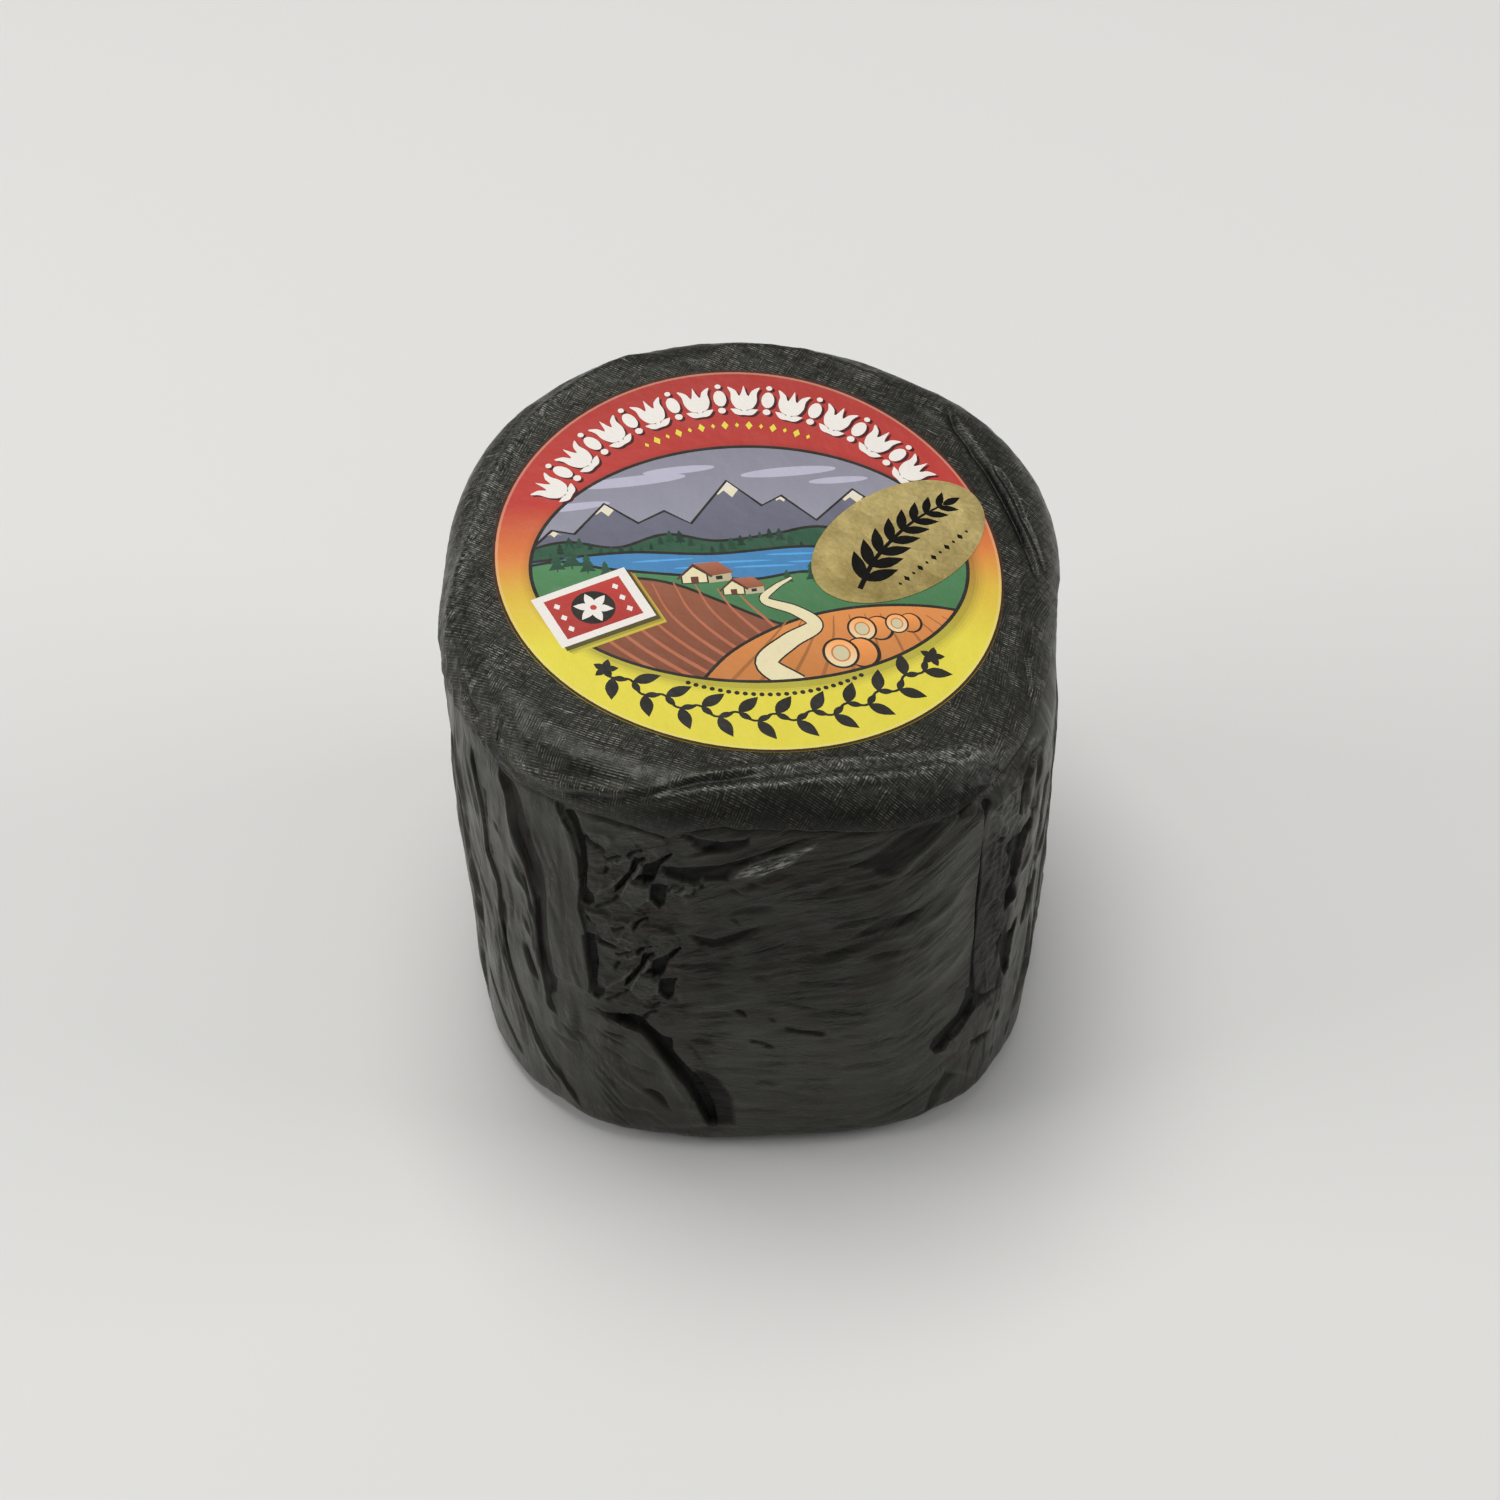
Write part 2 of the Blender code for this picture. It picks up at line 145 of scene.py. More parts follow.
# Edges of the overlapping plates of foil
PLATE_EDGES = read_rows(Crease, (
    (0.25, 0.22, 0.5, 6, 1, 4, 0.7, 214.6, 60, 217.4, 73, 217, 83.3, 219.6, 89, 219.1, 100, 220.4, 110,
     223.9, 119, 228.3, 127.2, 234, 134, 236, 138),
    (0.15, 0.25, 0.65, 5, 1, 3, 0.3, 223.1, 57.5, 225.2, 62, 225.9, 67.5, 228.2, 76, 229.6, 84, 229.3, 96,
     230.8, 108, 230.8, 110.5, 232.3, 114),
    (0, 0.25, 0.8, 6, 1, 2, 0, 235.2, 55, 236, 59.8, 238.1, 63.7, 239.2, 69.2, 239.2, 75.3, 238.6, 81,
     239.6, 86, 239.8, 100, 239.4, 104),
    (0.2, 0.25, 0.7, 7, 1, 2.5, 0.5, 240.4, 106.9, 243.5, 107.5, 248.9, 109.4, 250.3, 111.5, 256.5, 123.4,
     259, 130.7, 260.4, 136),
    (0, 0.3, 0.6, 9, 1, 1.5, 0, 308.4, 54, 308.6, 57.7, 309.2, 61.5, 309.3, 70, 308.9, 82.7, 310.1, 94.3,
     310.1, 100, 309.2, 105),
    (0.1, 0.3, 0.6, 6, -1, 2, 0.2, 311.4, 109.5, 308.8, 114.4, 307.2, 116.5, 305.4, 117.4, 304.4, 119.3,
     303.1, 121),
    (0.2, 0.3, 0.4, 3, -1, 1.5, 0.4, 311, 107.4, 313.4, 109.8, 317.4, 111.2, 320, 109),
    (0.1, 0.3, 0.45, 4, -1, 3, 0.3, 323.4, 68.8, 320.3, 72, 318.1, 83.2, 317.9, 89),
    (0.1, 0.3, 0.45, 4, -1, 3, 0.3, 323.2, 96.5, 321, 99.4, 320.1, 104, 319.6, 111),
    (0.15, 0.4, 0.5, 6, -1, 6, 0.35, 339, 60, 338.2, 67, 336.4, 74, 333.8, 80.5, 330.2, 85.5, 326.5, 89),
    (0.15, 0.4, 0.5, 6, -1, 6, 0.35, 345, 80, 343.4, 89, 341.2, 97, 337.2, 109, 335, 113, 329.4, 118.2,
     326.9, 121.2, 325.3, 125, 324.9, 131),
))

# Smaller creases and lines
SMALL_CREASES = read_rows(Crease, (
    (0.35, 0.45, 0.2, 3, 1, 2, 0.6, 225.1, 99.3, 226.6, 102.8, 228.9, 107.3),
    (0.3, 0.4, 0.2, 3, 1, 2, 0.5, 227, 79, 228, 84, 228.9, 90),
    (0.35, 0.35, 0.2, 2, 1, 0.8, 0.9, 265, 101.5, 266.6, 102.6, 267.8, 104.1),
    (0.25, 0.3, 0.2, 2, 1, 1, 0.6, 267.8, 110, 270.4, 110.8, 273, 112.3),
    (0.3, 0.35, 0.2, 2, 1, 1.5, 0.7, 274.3, 107.4, 277.7, 108.2, 283, 109),
    (0.2, 0.3, 0.1, 2, 1, 0.8, 0.5, 271.6, 104.1, 273.4, 105.4),
    (0.2, 0.45, 0.1, 2, 1, 1.5, 0.4, 257, 110.6, 259.5, 110.7, 262.4, 111.4),
    (0.2, 0.45, 0.1, 2, 1, 1.5, 0.4, 269, 123, 271.1, 122.5, 274, 123.2),
    (0.3, 0.3, 0.2, 1.5, 1, 0.7, 0.7, 254.1, 72.4, 255.5, 70.8, 256.8, 70),
    (0.3, 0.3, 0.2, 1.5, 1, 0.7, 0.6, 255.5, 72.4, 257.8, 70.1),
    (0.3, 0.35, 0.2, 2, 1, 0.8, 0.6, 256.8, 72.7, 258.9, 71.6, 260.5, 68),
    (0.4, 0.6, 0.2, 3, -1, 3, 0.6, 317.8, 81.8, 317.9, 91),
    (0.5, 0.6, 0.4, 4, 1, 3, 0.6, 331, 57, 329, 66, 323.4, 84),
    (0.5, 0.5, 0.4, 3, -1, 2, 0.7, 330, 90, 327, 97.7, 324.6, 102),
    (0.5, 0.5, 0.3, 2, -1, 0.8, 0.9, 312.3, 66.5, 313.3, 65.8, 314.9, 66.7),
    (0.4, 0.4, 0.2, 2, -1, 0.8, 0.8, 317.2, 133.8, 317.9, 130.6),
    (0.4, 0.4, 0.2, 2, 1, 0.8, 0.8, 304.1, 55.6, 305.7, 54.1, 307.5, 52.9),
    (0.3, 0.6, 0.2, 4, 1, 4, 0.3, 196, 70, 197, 84, 199.5, 100),
    (0.35, 0.6, 0.3, 4, 1, 5, 0.35, 204, 66, 206.4, 80, 207.5, 96, 210, 112),
    (0.3, 0.4, 0.2, 3, 1, 2, 0.4, 210.5, 120, 216, 128, 222, 134),
))

# Creases of one crumple, which comes again further down
CRUMPLE_CREASES = read_rows(Crease, (
    (0.4, 0.7, 0.4, 3, -1, 0.8, 0.55, 240.4, 63, 241.5, 64.1, 245, 65.2),
    (0.4, 0.25, 0.3, 1.5, -1, 0.5, 1, 243.6, 66.6, 244.4, 66.9, 246.7, 65.2),
    (0.5, 0.32, 0.4, 2, -1, 0.6, 1, 247.3, 65.7, 248.4, 64, 250.6, 62.4),
    (-0.35, 0.25, 0, 1, 1, 0.4, -0.9, 249, 64.3, 249.6, 63.5, 250.5, 63.5, 251.4, 62.8),
    (-0.3, 0.3, 0, 1, 1, 0.4, -0.7, 245.3, 67, 246.2, 67.5, 248, 65.7),
    (-0.4, 0.25, 0, 1, 1, 0.4, -0.6, 250.1, 66.6, 249, 69.7, 248.3, 70.5),
    (0.4, 0.3, 0, 1, 1, 0.4, 0.9, 244.3, 69, 243.6, 70.7, 243.8, 71.3),
    (-0.3, 0.25, 0, 1, 1, 0.6, -0.5, 241.6, 77, 243, 75, 244.6, 73.7, 247, 70),
    (0.35, 0.28, 0, 1, 1, 0.6, 0.8, 241.3, 80.5, 245, 77, 245.7, 75.5),
    (-0.3, 0.22, 0, 1, 1, 0.6, -0.5, 246.3, 75.5, 246.9, 73.2, 247.9, 70.8),
    (-0.3, 0.22, 0, 1, 1, 0.6, -0.5, 249.1, 71.1, 250.8, 71.9, 251.4, 73.4, 251.1, 75.4),
    (0.35, 0.28, 0, 1, 1, 0.6, 0.8, 239.3, 83, 240.4, 84, 241.8, 84.5),
    (0.4, 0.25, 0, 1, 1, 0.4, 0.9, 244.3, 83.3, 245, 83.8, 246.2, 83, 246.9, 83),
    (0.5, 0.3, 0.4, 2, -1, 0.5, 1, 248, 82.6, 248.8, 81, 249.8, 80, 250.8, 79.4),
    (-0.3, 0.22, 0, 1, 1, 0.4, -0.6, 249.2, 81.5, 250.1, 80.5, 250.8, 80.5),
    (0.3, 0.3, 0.3, 2, -1, 0.8, 0.5, 248, 78.8, 249.7, 78.6, 251.5, 77.5),
    (0.35, 0.45, 0.3, 2, -1, 0.8, 0.6, 241, 88.3, 245.1, 88),
    (-0.25, 0.25, 0, 1, 1, 0.6, -0.35, 244.8, 85.7, 246.4, 84.8, 247.7, 85.8, 248.8, 85.3),
))
CRUMPLE_STEPS = ((0.0, 0.0), (0.9, 23.4))

# Wrinkles of the side sheet's front half
SHOWN_WRINKLES = read_rows(Wrinkle, (
    (0.45, 0.4, 0.35, 279.7, 62.3, 292.1, 57.2),
    (-0.3, 0.5, -0.08, 285.7, 62.1, 288.4, 60.9, 294.8, 56, 297.4, 54.8, 300.3, 54.3),
    (-0.35, 0.5, -0.1, 287.8, 66.6, 291.8, 66.8, 293.8, 65.8, 303.9, 55.4),
    (0.35, 0.4, 0.3, 287.6, 68.1, 291, 68.5, 294.8, 66.3, 298.3, 63),
    (-0.2, 0.4, -0.06, 290.7, 69.7, 295.7, 67, 299.7, 62.1),
    (0.35, 0.7, 0.25, 278.3, 70.6, 282.8, 68.6, 285.1, 66.9),
    (0.2, 0.5, 0.1, 278.7, 72.6, 291.9, 69.9),
    (0.45, 0.7, 0.3, 279.8, 80.1, 282.6, 79.2, 285.2, 77.5, 289.6, 76.9, 292.3, 76),
    (-0.3, 0.6, -0.06, 281.3, 82, 295.5, 75.6, 298.2, 75.3),
    (0.5, 0.7, 0.35, 278.2, 87.1, 281, 86.9, 283.1, 85.6, 289.7, 83.3, 292.1, 81.9),
    (-0.4, 0.6, -0.1, 281, 88.5, 284.6, 87.4, 291.9, 83.9, 297.1, 82.6, 299.1, 80.6),
    (0.5, 0.9, 0.35, 284.6, 88.1, 287.8, 88.2, 289.9, 87.1, 292.5, 86.5, 295.1, 86.5, 297.8, 85.6, 299.7,
     84.4, 301.2, 82.2),
    (0.3, 0.9, 0.2, 288.5, 90.2, 294.9, 90, 297.4, 88.5, 299.1, 86.9),
    (-0.25, 0.5, -0.08, 295.4, 92.6, 301.8, 86),
    (0.4, 0.6, 0.3, 277.2, 93.6, 280.3, 94.2, 283, 93.8, 285.6, 94.3, 288.3, 94.3, 294, 92.5),
    (-0.25, 0.7, -0.05, 278.5, 95.8, 287.5, 96.4, 291.5, 96, 295.1, 94.5, 298, 92),
    (0.35, 0.7, 0.3, 267.2, 67.6, 269.6, 68.3, 271.7, 68.4, 273.4, 67.9),
    (0.25, 0.5, 0.15, 263.7, 69, 266, 69.7, 267.3, 70.6, 269, 71, 270.8, 70.2),
    (0.25, 0.4, 0.2, 272.9, 66.1, 277.2, 64.8),
    (0.25, 0.5, 0.15, 258.6, 76.9, 260.3, 77.6, 262.6, 77.6, 264.7, 76.6),
    (0.25, 0.4, 0.15, 264.7, 77.1, 265.9, 77.9, 266.9, 79.4),
    (-0.4, 0.6, -0.1, 259.6, 86.6, 262.3, 86.2, 264.6, 85.2, 271, 80),
    (0.35, 0.7, 0.2, 265.8, 86.7, 268.1, 86.1, 272.9, 84.1, 277.9, 83.1),
    (0.25, 0.6, 0.12, 267, 89, 274.9, 84.6),
    (-0.25, 0.5, -0.08, 265.2, 91, 271.7, 86.5),
    (-0.3, 0.6, -0.05, 254, 88.6, 260, 87.5, 263.1, 87.4),
    (0.4, 0.7, 0.3, 251.9, 101.8, 261.9, 98.5),
    (0.45, 0.7, 0.35, 266.9, 99.9, 272.1, 99, 274.9, 99.4, 280.4, 101.4, 288.2, 101.9, 290.4, 102.5),
    (0.25, 0.6, 0.15, 269.3, 101.5, 272.1, 102.1, 274.9, 101.9),
    (0.3, 0.4, 0.2, 284.6, 103.6, 288.9, 103.1, 291.4, 102.4),
    (0.25, 0.4, 0.15, 282.7, 109.3, 288.8, 109.5, 290.8, 108.9),
    (0.3, 0.8, 0.15, 280.7, 119.6, 289, 117.7, 292.7, 117.9, 295.1, 117.4, 299.3, 114.5),
    (0.2, 0.6, 0.1, 285, 121.5, 292.8, 121.2, 297.8, 119),
    (0.2, 0.6, 0.12, 290.9, 129.9, 296.9, 128.6, 299.8, 129.7, 302.8, 130.3),
    (0.2, 0.6, 0.08, 286.1, 113.6, 289.8, 113.3, 293.4, 112.1, 296.1, 110),
    (0.15, 0.7, 0.06, 276, 123.3, 280.8, 123.9, 290.1, 123.9),
    (0.25, 0.5, 0.2, 256.1, 110.6, 257.7, 112.6, 260, 118.2),
    (0.25, 0.8, 0.15, 212.7, 61.1, 215.4, 75, 215.5, 80.2),
    (-0.3, 0.8, -0.05, 210.6, 62.4, 211.9, 80.1),
    (0.2, 0.9, 0.1, 207.7, 88.1, 214, 96.8, 216.4, 100.9, 217.5, 105),
    (-0.3, 0.8, -0.05, 203.6, 70.4, 202.9, 79.4, 203.4, 87.6, 204.7, 96.3),
    (-0.3, 0.5, -0.12, 223.4, 58.2, 225.7, 63.8, 226.1, 71, 229.3, 82),
    (0.35, 0.6, 0.25, 224.6, 76.5, 227.7, 83.9, 228.8, 85.3),
    (0.3, 0.6, 0.2, 225.3, 91.8, 227.4, 95, 228.6, 95.8),
    (0.3, 0.5, 0.2, 224.9, 99, 226.6, 104, 229, 107.7),
    (-0.3, 0.5, -0.12, 227.3, 94.3, 230.7, 106.7),
    (-0.25, 0.45, -0.1, 226.9, 85.8, 228.1, 88.1, 229.5, 93.1),
    (0.2, 0.4, 0.1, 222.9, 82.9, 225.2, 84.8),
    (0.3, 0.9, 0.15, 220.6, 72, 222.6, 75.2),
    (-0.25, 0.9, -0.05, 219.9, 66.7, 222.6, 73.8, 224.5, 82),
    (-0.3, 0.6, -0.1, 235.5, 57.7, 236.6, 60.5, 238.1, 67.4, 238.3, 76.2),
    (-0.3, 0.6, -0.1, 238.7, 83.5, 239.4, 99.8),
    (0.3, 0.8, 0.2, 228.9, 117, 232.7, 118.8, 237.8, 118.5),
    (0.3, 0.7, 0.2, 232.5, 114.7, 234.6, 115.5, 239.1, 116),
    (0.45, 0.5, 0.45, 239.1, 111.6, 242.3, 113.4, 245.5, 114, 247.4, 115.6),
    (0.4, 0.5, 0.4, 241.2, 115.8, 242.1, 117, 243.5, 117.3, 244.7, 118, 246, 119.7),
    (0.35, 0.45, 0.3, 245.8, 119.2, 249.8, 120.3, 252.2, 120),
    (0.35, 0.4, 0.4, 237.8, 107.5, 241, 107.4, 245.8, 108.6),
    (0.2, 0.9, 0.1, 237.9, 124.6, 241, 125.5, 247.7, 128.3),
    (0.25, 1, 0.15, 241.1, 131.5, 244.7, 132.2, 252.6, 132.1),
    (0.2, 0.6, 0.12, 216.4, 136.3, 219.4, 135.9, 221.7, 136.2),
    (-0.2, 0.6, -0.06, 240.4, 121, 247.8, 125.7, 250.5, 128.2),
    (-0.3, 0.7, -0.08, 248.4, 109.5, 251, 113.8, 258.2, 132.1),
    (0.5, 0.5, 0.6, 324.1, 51.6, 316, 53.2),
    (0.5, 0.6, 0.6, 322.7, 50.6, 316.5, 52, 312.4, 54.1),
    (-0.4, 0.5, -0.15, 323.1, 51.7, 316.8, 52.8, 314.4, 53.9, 310.9, 56.5, 310.2, 58),
    (0.4, 0.4, 0.5, 319.4, 55.7, 317.6, 55.5, 314.4, 55.9),
    (-0.4, 0.5, -0.15, 320.4, 53.8, 318, 54.1, 314, 55.4, 312.3, 56.6, 311.1, 58.4),
    (0.4, 0.4, 0.5, 313.3, 55.4, 310.8, 57.5),
    (0.4, 0.45, 0.4, 315.1, 58.2, 313.9, 58.8, 313.1, 60),
    (0.35, 0.45, 0.35, 318.2, 59.8, 316.6, 59.9, 315.6, 61.2),
    (-0.4, 0.4, -0.15, 320.9, 58, 320.7, 66.3),
    (0.35, 0.45, 0.4, 322.6, 62.4, 322.8, 65.5, 325.1, 70.6),
    (0.4, 0.5, 0.5, 326.4, 53.5, 324, 54.9, 323, 62),
    (-0.4, 0.7, -0.12, 322.8, 69.7, 322.5, 74.9, 320.6, 84),
    (0.3, 0.5, 0.25, 323.4, 73.1, 322.5, 77, 319.9, 83.2),
    (0.6, 0.6, 0.7, 318.7, 82, 318, 88.4, 317.3, 90.7),
    (0.4, 0.4, 0.6, 312.3, 85, 313.7, 84.5, 315.8, 84.7),
    (0.4, 0.4, 0.6, 313.3, 93.2, 314.8, 92.8, 317.4, 93.8),
    (-0.35, 0.35, -0.25, 305.3, 126, 310.9, 131.8, 313.8, 136),
    (-0.3, 0.6, -0.1, 319.6, 113.7, 318.3, 116.8, 316.1, 119.1, 315.1, 122.7),
    (0.3, 0.5, 0.3, 319.3, 119.4, 318.2, 121.3, 316.5, 122.6),
    (-0.2, 0.2, -0.5, 254.7, 72.6, 255.7, 70.2),
    (-0.2, 0.2, -0.5, 255.6, 72.8, 256.6, 69.9),
    (-0.2, 0.2, -0.5, 256.7, 72.7, 257.9, 69.6),
    (-0.2, 0.2, -0.5, 257.8, 72.2, 258.9, 70.3),
    (-0.3, 0.22, -0.8, 259.2, 70.8, 259.8, 68.9, 260.7, 68, 261.8, 68.3),
    (0.4, 0.25, 1, 259.8, 70.6, 260.3, 68.8, 260.7, 68.5),
    (-0.35, 0.25, -1, 264.1, 67.6, 267.7, 64.5, 272, 61.5, 281.3, 57.6),
    (-0.3, 0.25, -1, 265.6, 67.8, 270.3, 65.7, 278.3, 59.4),
    (-0.25, 0.22, -0.9, 268.2, 65.6, 272.9, 63.1, 276.6, 60.4),
    (0.5, 0.5, 0.28, 332, 54, 326.7, 53.5, 322.6, 53.9, 320.1, 55.7, 320.4, 67.2),
    (-0.4, 0.5, -0.35, 329.2, 52.2, 324, 51.8, 316.8, 52.3, 313.4, 53.3, 311.3, 54.6),
    (0.4, 0.45, 0.45, 326.7, 52.8, 321.9, 52.9, 318.1, 53.6, 316.1, 56.9, 315.9, 62.3),
    (-0.3, 0.4, -0.25, 314.5, 53.3, 312.9, 54.7, 312.6, 58.2, 313.3, 62.7),
    (0.5, 0.5, 0.5, 335.8, 60, 331, 61, 327.5, 64.8, 327.5, 71.4, 328.6, 81.1, 328.6, 89.9),
))

# Fields of faint wrinkles that are scattered: from and to an angle, from and to a way, how many, how
# long, the deepest, and how many degrees they lean for each millimetre down, or None where they follow
# the flow. Each wrinkle's route has the number of points given first
WRINKLE_POINTS = 9
WRINKLE_FIELDS = (
    (257.0, 307.0, 57.0, 137.0, 190, 13.0, 0.34, None),
    (184.0, 238.0, 62.0, 132.0, 130, 22.0, 0.22, 0.09),
    (226.0, 256.0, 112.0, 138.0, 30, 9.0, 0.22, 0.9),
    (311.0, 366.0, 55.0, 136.0, 120, 18.0, 0.22, -0.12),
    (324.0, 368.0, 57.0, 138.0, 34, 52.0, 0.55, -0.10),
    (172.0, 210.0, 58.0, 138.0, 22, 46.0, 0.55, 0.06),
)

# Hollows and pillows of the side sheet's front half
SHOWN_HOLLOWS = read_rows(Hollow, (
    (0.25, 0.25, 0.75, 218, 67.1, 218, 84, 218.9, 82.8, 218.4, 79.5, 219.2, 67.2),
    (0.25, 0.25, 0.75, 220.3, 92, 219.6, 95.2, 219.1, 100.8, 218.9, 107.7, 219.9, 110, 220.4, 110.5, 220,
     106.6, 220.2, 102.5, 220.8, 98, 220.9, 94),
    (0.35, 0.4, 0.55, 223.8, 58.8, 225, 61.3, 225.9, 64, 226, 67.5, 226.6, 70.5, 229.9, 83.3, 228.9, 87.3,
     229.1, 89.5, 228.9, 97.5, 230.8, 105.2, 230.8, 108.7, 232.6, 107, 232.9, 103.7, 231.9, 92.7, 232.2,
     82.3, 231.4, 74.8, 227.8, 60.8, 226.6, 59),
    (1.3, 0.3, 1, 241, 107.5, 243.5, 107.1, 244.8, 108.3, 248.7, 109.2, 250.3, 111.5, 251.6, 114.4, 256.5,
     123.4, 260.3, 135.3, 262, 135.3, 261.5, 130, 260.3, 125, 257.2, 118.5, 254, 113.2, 254.2, 111.7, 254,
     110.3, 252.4, 110.2, 250.2, 107.6, 248.6, 105.2),
    (0.4, 0.7, 0.84, 257, 121, 260.3, 135, 265.6, 135, 265.2, 126.8, 262.7, 121.5, 260.6, 119.4, 258,
     118.5),
    (0.5, 0.4, 0.85, 248, 125.8, 250.3, 125.4, 251.7, 126.4, 252.6, 128, 253.5, 131.3, 251.6, 129.7, 249.8,
     127.5),
    (0.5, 0.4, 1, 314.8, 70.2, 315.6, 69, 317.6, 68.5, 319.9, 69.3, 321.9, 68.2, 323, 68.8, 321.7, 70.5,
     320.3, 71.5, 319.5, 73.5, 318.7, 80.3, 317.8, 81.8, 316.1, 73),
    (0.5, 0.4, 1, 315.4, 97, 316.9, 96, 320.5, 98, 323, 97, 321.4, 99.3, 320.4, 101.5, 319.9, 104.5, 320,
     108.5, 319.4, 110.6, 318.3, 108.6, 317.4, 102.8),
    (0.6, 0.4, 1, 311, 123.5, 311.1, 122, 313.1, 121.8, 316.3, 123.5, 314.8, 124.2, 312.6, 124.2),
    (0.3, 0.5, 0.5, 314.1, 113.6, 315.6, 112.9, 316.2, 115.5, 313.9, 114.8),
    (0.5, 0.8, 0.65, 306, 127.6, 307.6, 129.2, 308.4, 130.4, 306.9, 131.5, 305.8, 133.6, 304.9, 136.7,
     303.3, 137.8, 301.9, 138, 303.2, 131.8),
    (0.7, 0.45, 0.7, 256.4, 57.6, 258.5, 57.3, 265.2, 57.8, 267.8, 57.1, 269, 55.7, 268.6, 58.3, 266.9,
     59.6, 265.2, 60.5, 262.7, 61, 260.6, 61, 258.5, 58.2),
    (0.8, 0.45, 0.72, 253.3, 66.5, 263.5, 63.8, 271.1, 60.3, 273.7, 58.7, 279.6, 56.1, 273.7, 60.2, 270.3,
     61.5, 268.6, 63.4, 266, 65.5, 264.8, 67.6, 260.9, 68.1, 259.1, 69, 256.6, 68.7, 254, 68),
    (0.7, 0.45, 0.6, 257.6, 82.4, 262.3, 83, 270.5, 79.5, 268.5, 81.8, 266.4, 83.6, 264, 84.7, 261.8, 85.2,
     259.7, 84.9),
    (0.5, 0.8, 0.45, 253.3, 90.3, 262.8, 89, 265.3, 89.1, 265.9, 90.1, 263.1, 91.4, 259.5, 91.7, 256, 91.4),
    (-0.25, 0.3, -1, 265.1, 67.4, 266.5, 65.5, 268.6, 63.4, 270.6, 62.1, 272.9, 61.9, 279.1, 57.6, 280.4,
     57.1, 279.1, 59.1, 277.6, 60.4, 276.3, 62.5, 275.1, 63.6, 272.9, 64.1, 271.1, 65.2),
    (-0.2, 0.35, -0.4, 253.8, 70.5, 260.1, 68.9, 259.6, 70.6, 258.5, 72, 256.8, 72.9, 255, 72.2),
    (0.5, 0.8, 0.45, 284.9, 63.6, 287.7, 62.5, 290.7, 60.8, 294.8, 56.7, 297.4, 55.4, 300.5, 55.1, 302.6,
     55.4, 300.9, 57.7, 293.1, 66, 290.9, 66.4, 288.8, 64.5),
    (0.6, 0.7, 0.5, 286.2, 82.1, 292.1, 77.5, 299.1, 76.6, 298, 79.2, 295.8, 80.5, 289.7, 82.2),
    (0.45, 0.8, 0.35, 263.6, 77.3, 265.9, 75.1, 268.6, 73.6, 271.2, 73.3, 273.8, 73.5, 272, 75, 269.4, 75.9,
     267.1, 75.9),
    (0.35, 0.7, 0.3, 268.1, 91.9, 269.9, 91.4, 272.1, 91.6, 274, 90.5, 273.2, 92.4, 271.3, 93.5, 269.4,
     93.6),
    (0.8, 0.4, 0.9, 319.3, 56.3, 320, 57.5, 319.6, 63.2, 319.2, 64.9, 318.2, 64, 318.6, 58.6),
    (0.5, 0.2, 0.95, 236.6, 59.7, 237.6, 59, 238.5, 58.7, 239.1, 59.9, 239.5, 61.9, 240.3, 64, 240.6, 69.9,
     240, 75.8, 241.5, 77.5, 241.3, 79.2, 240.3, 80.3, 238.9, 80, 239.3, 72.4, 239.2, 67.5, 237.8, 61.7),
    (0.5, 0.2, 0.95, 239.1, 87.3, 240.8, 87.1, 241.1, 89.2, 241.3, 95, 240.8, 99.3, 241.1, 100.5, 242.1,
     100.7, 242, 102.5, 240.9, 104, 239.7, 103.7, 239.8, 97.5),
    (0.55, 0.25, 1, 308.7, 54.2, 308.6, 58.5, 308.9, 61.7, 308.7, 79.7, 309.2, 91.7, 309.1, 103.7, 308.8,
     107.1, 307.4, 111.1, 302.5, 115.5, 301.7, 117.5, 303.2, 120.3, 304.9, 119.5, 306.9, 115.7, 309, 113.5,
     311.3, 111.7, 315.1, 112, 319, 112.9, 318.1, 111.3, 314.9, 110.5, 311.5, 108.5, 310.9, 105, 310.4,
     98.5, 310, 86.2, 310.1, 76.4, 309.4, 61.3, 309.9, 56.3, 310.6, 54.6, 310.2, 53.9, 309.4, 53.7),
))
# Hollows and pillows of the crumple
CRUMPLE_HOLLOWS = read_rows(Hollow, (
    (-0.5, 0.2, -0.12, 238.4, 57.5, 247, 57.8, 251.8, 57.5, 254.5, 58.7, 254.9, 60.2, 254.7, 62.1, 253.2,
     64.2, 251.5, 65.6, 251.3, 63.6, 250.3, 62.4, 248.5, 63, 246.7, 65.2, 245, 64.8, 241.5, 63.1, 240,
     60.9),
    (0.8, 0.18, 1, 248.4, 66.4, 249.1, 65, 249.9, 65.1, 250.6, 64.6, 250.9, 65.4, 250.1, 66.4, 249.3, 66.9,
     248.9, 68.5, 245.7, 74.6, 244.9, 75.3, 245.4, 73.1, 248, 68.7),
    (1, 0.18, 1, 251.2, 66, 252.6, 65, 255.2, 62.3, 255.6, 62.5, 253.2, 66.1, 252.2, 69.7, 251.5, 70.9,
     250.2, 71.2, 249.8, 70.4, 248.7, 70.5, 249.2, 69.6, 250, 69, 250.4, 66.9),
    (0.8, 0.2, 0.92, 251.5, 71.2, 254.8, 70.4, 254.1, 71.6, 254.1, 73.4, 253.8, 75.3, 252.9, 76.5, 251.6,
     75.6, 251.2, 74),
    (-0.55, 0.3, -0.22, 248.1, 70.6, 249.1, 70.9, 250.8, 71.9, 251.5, 73.3, 251.4, 74.9, 249.8, 77, 247.6,
     77.4, 246.3, 76.5, 246.1, 75, 246.9, 72.9),
))

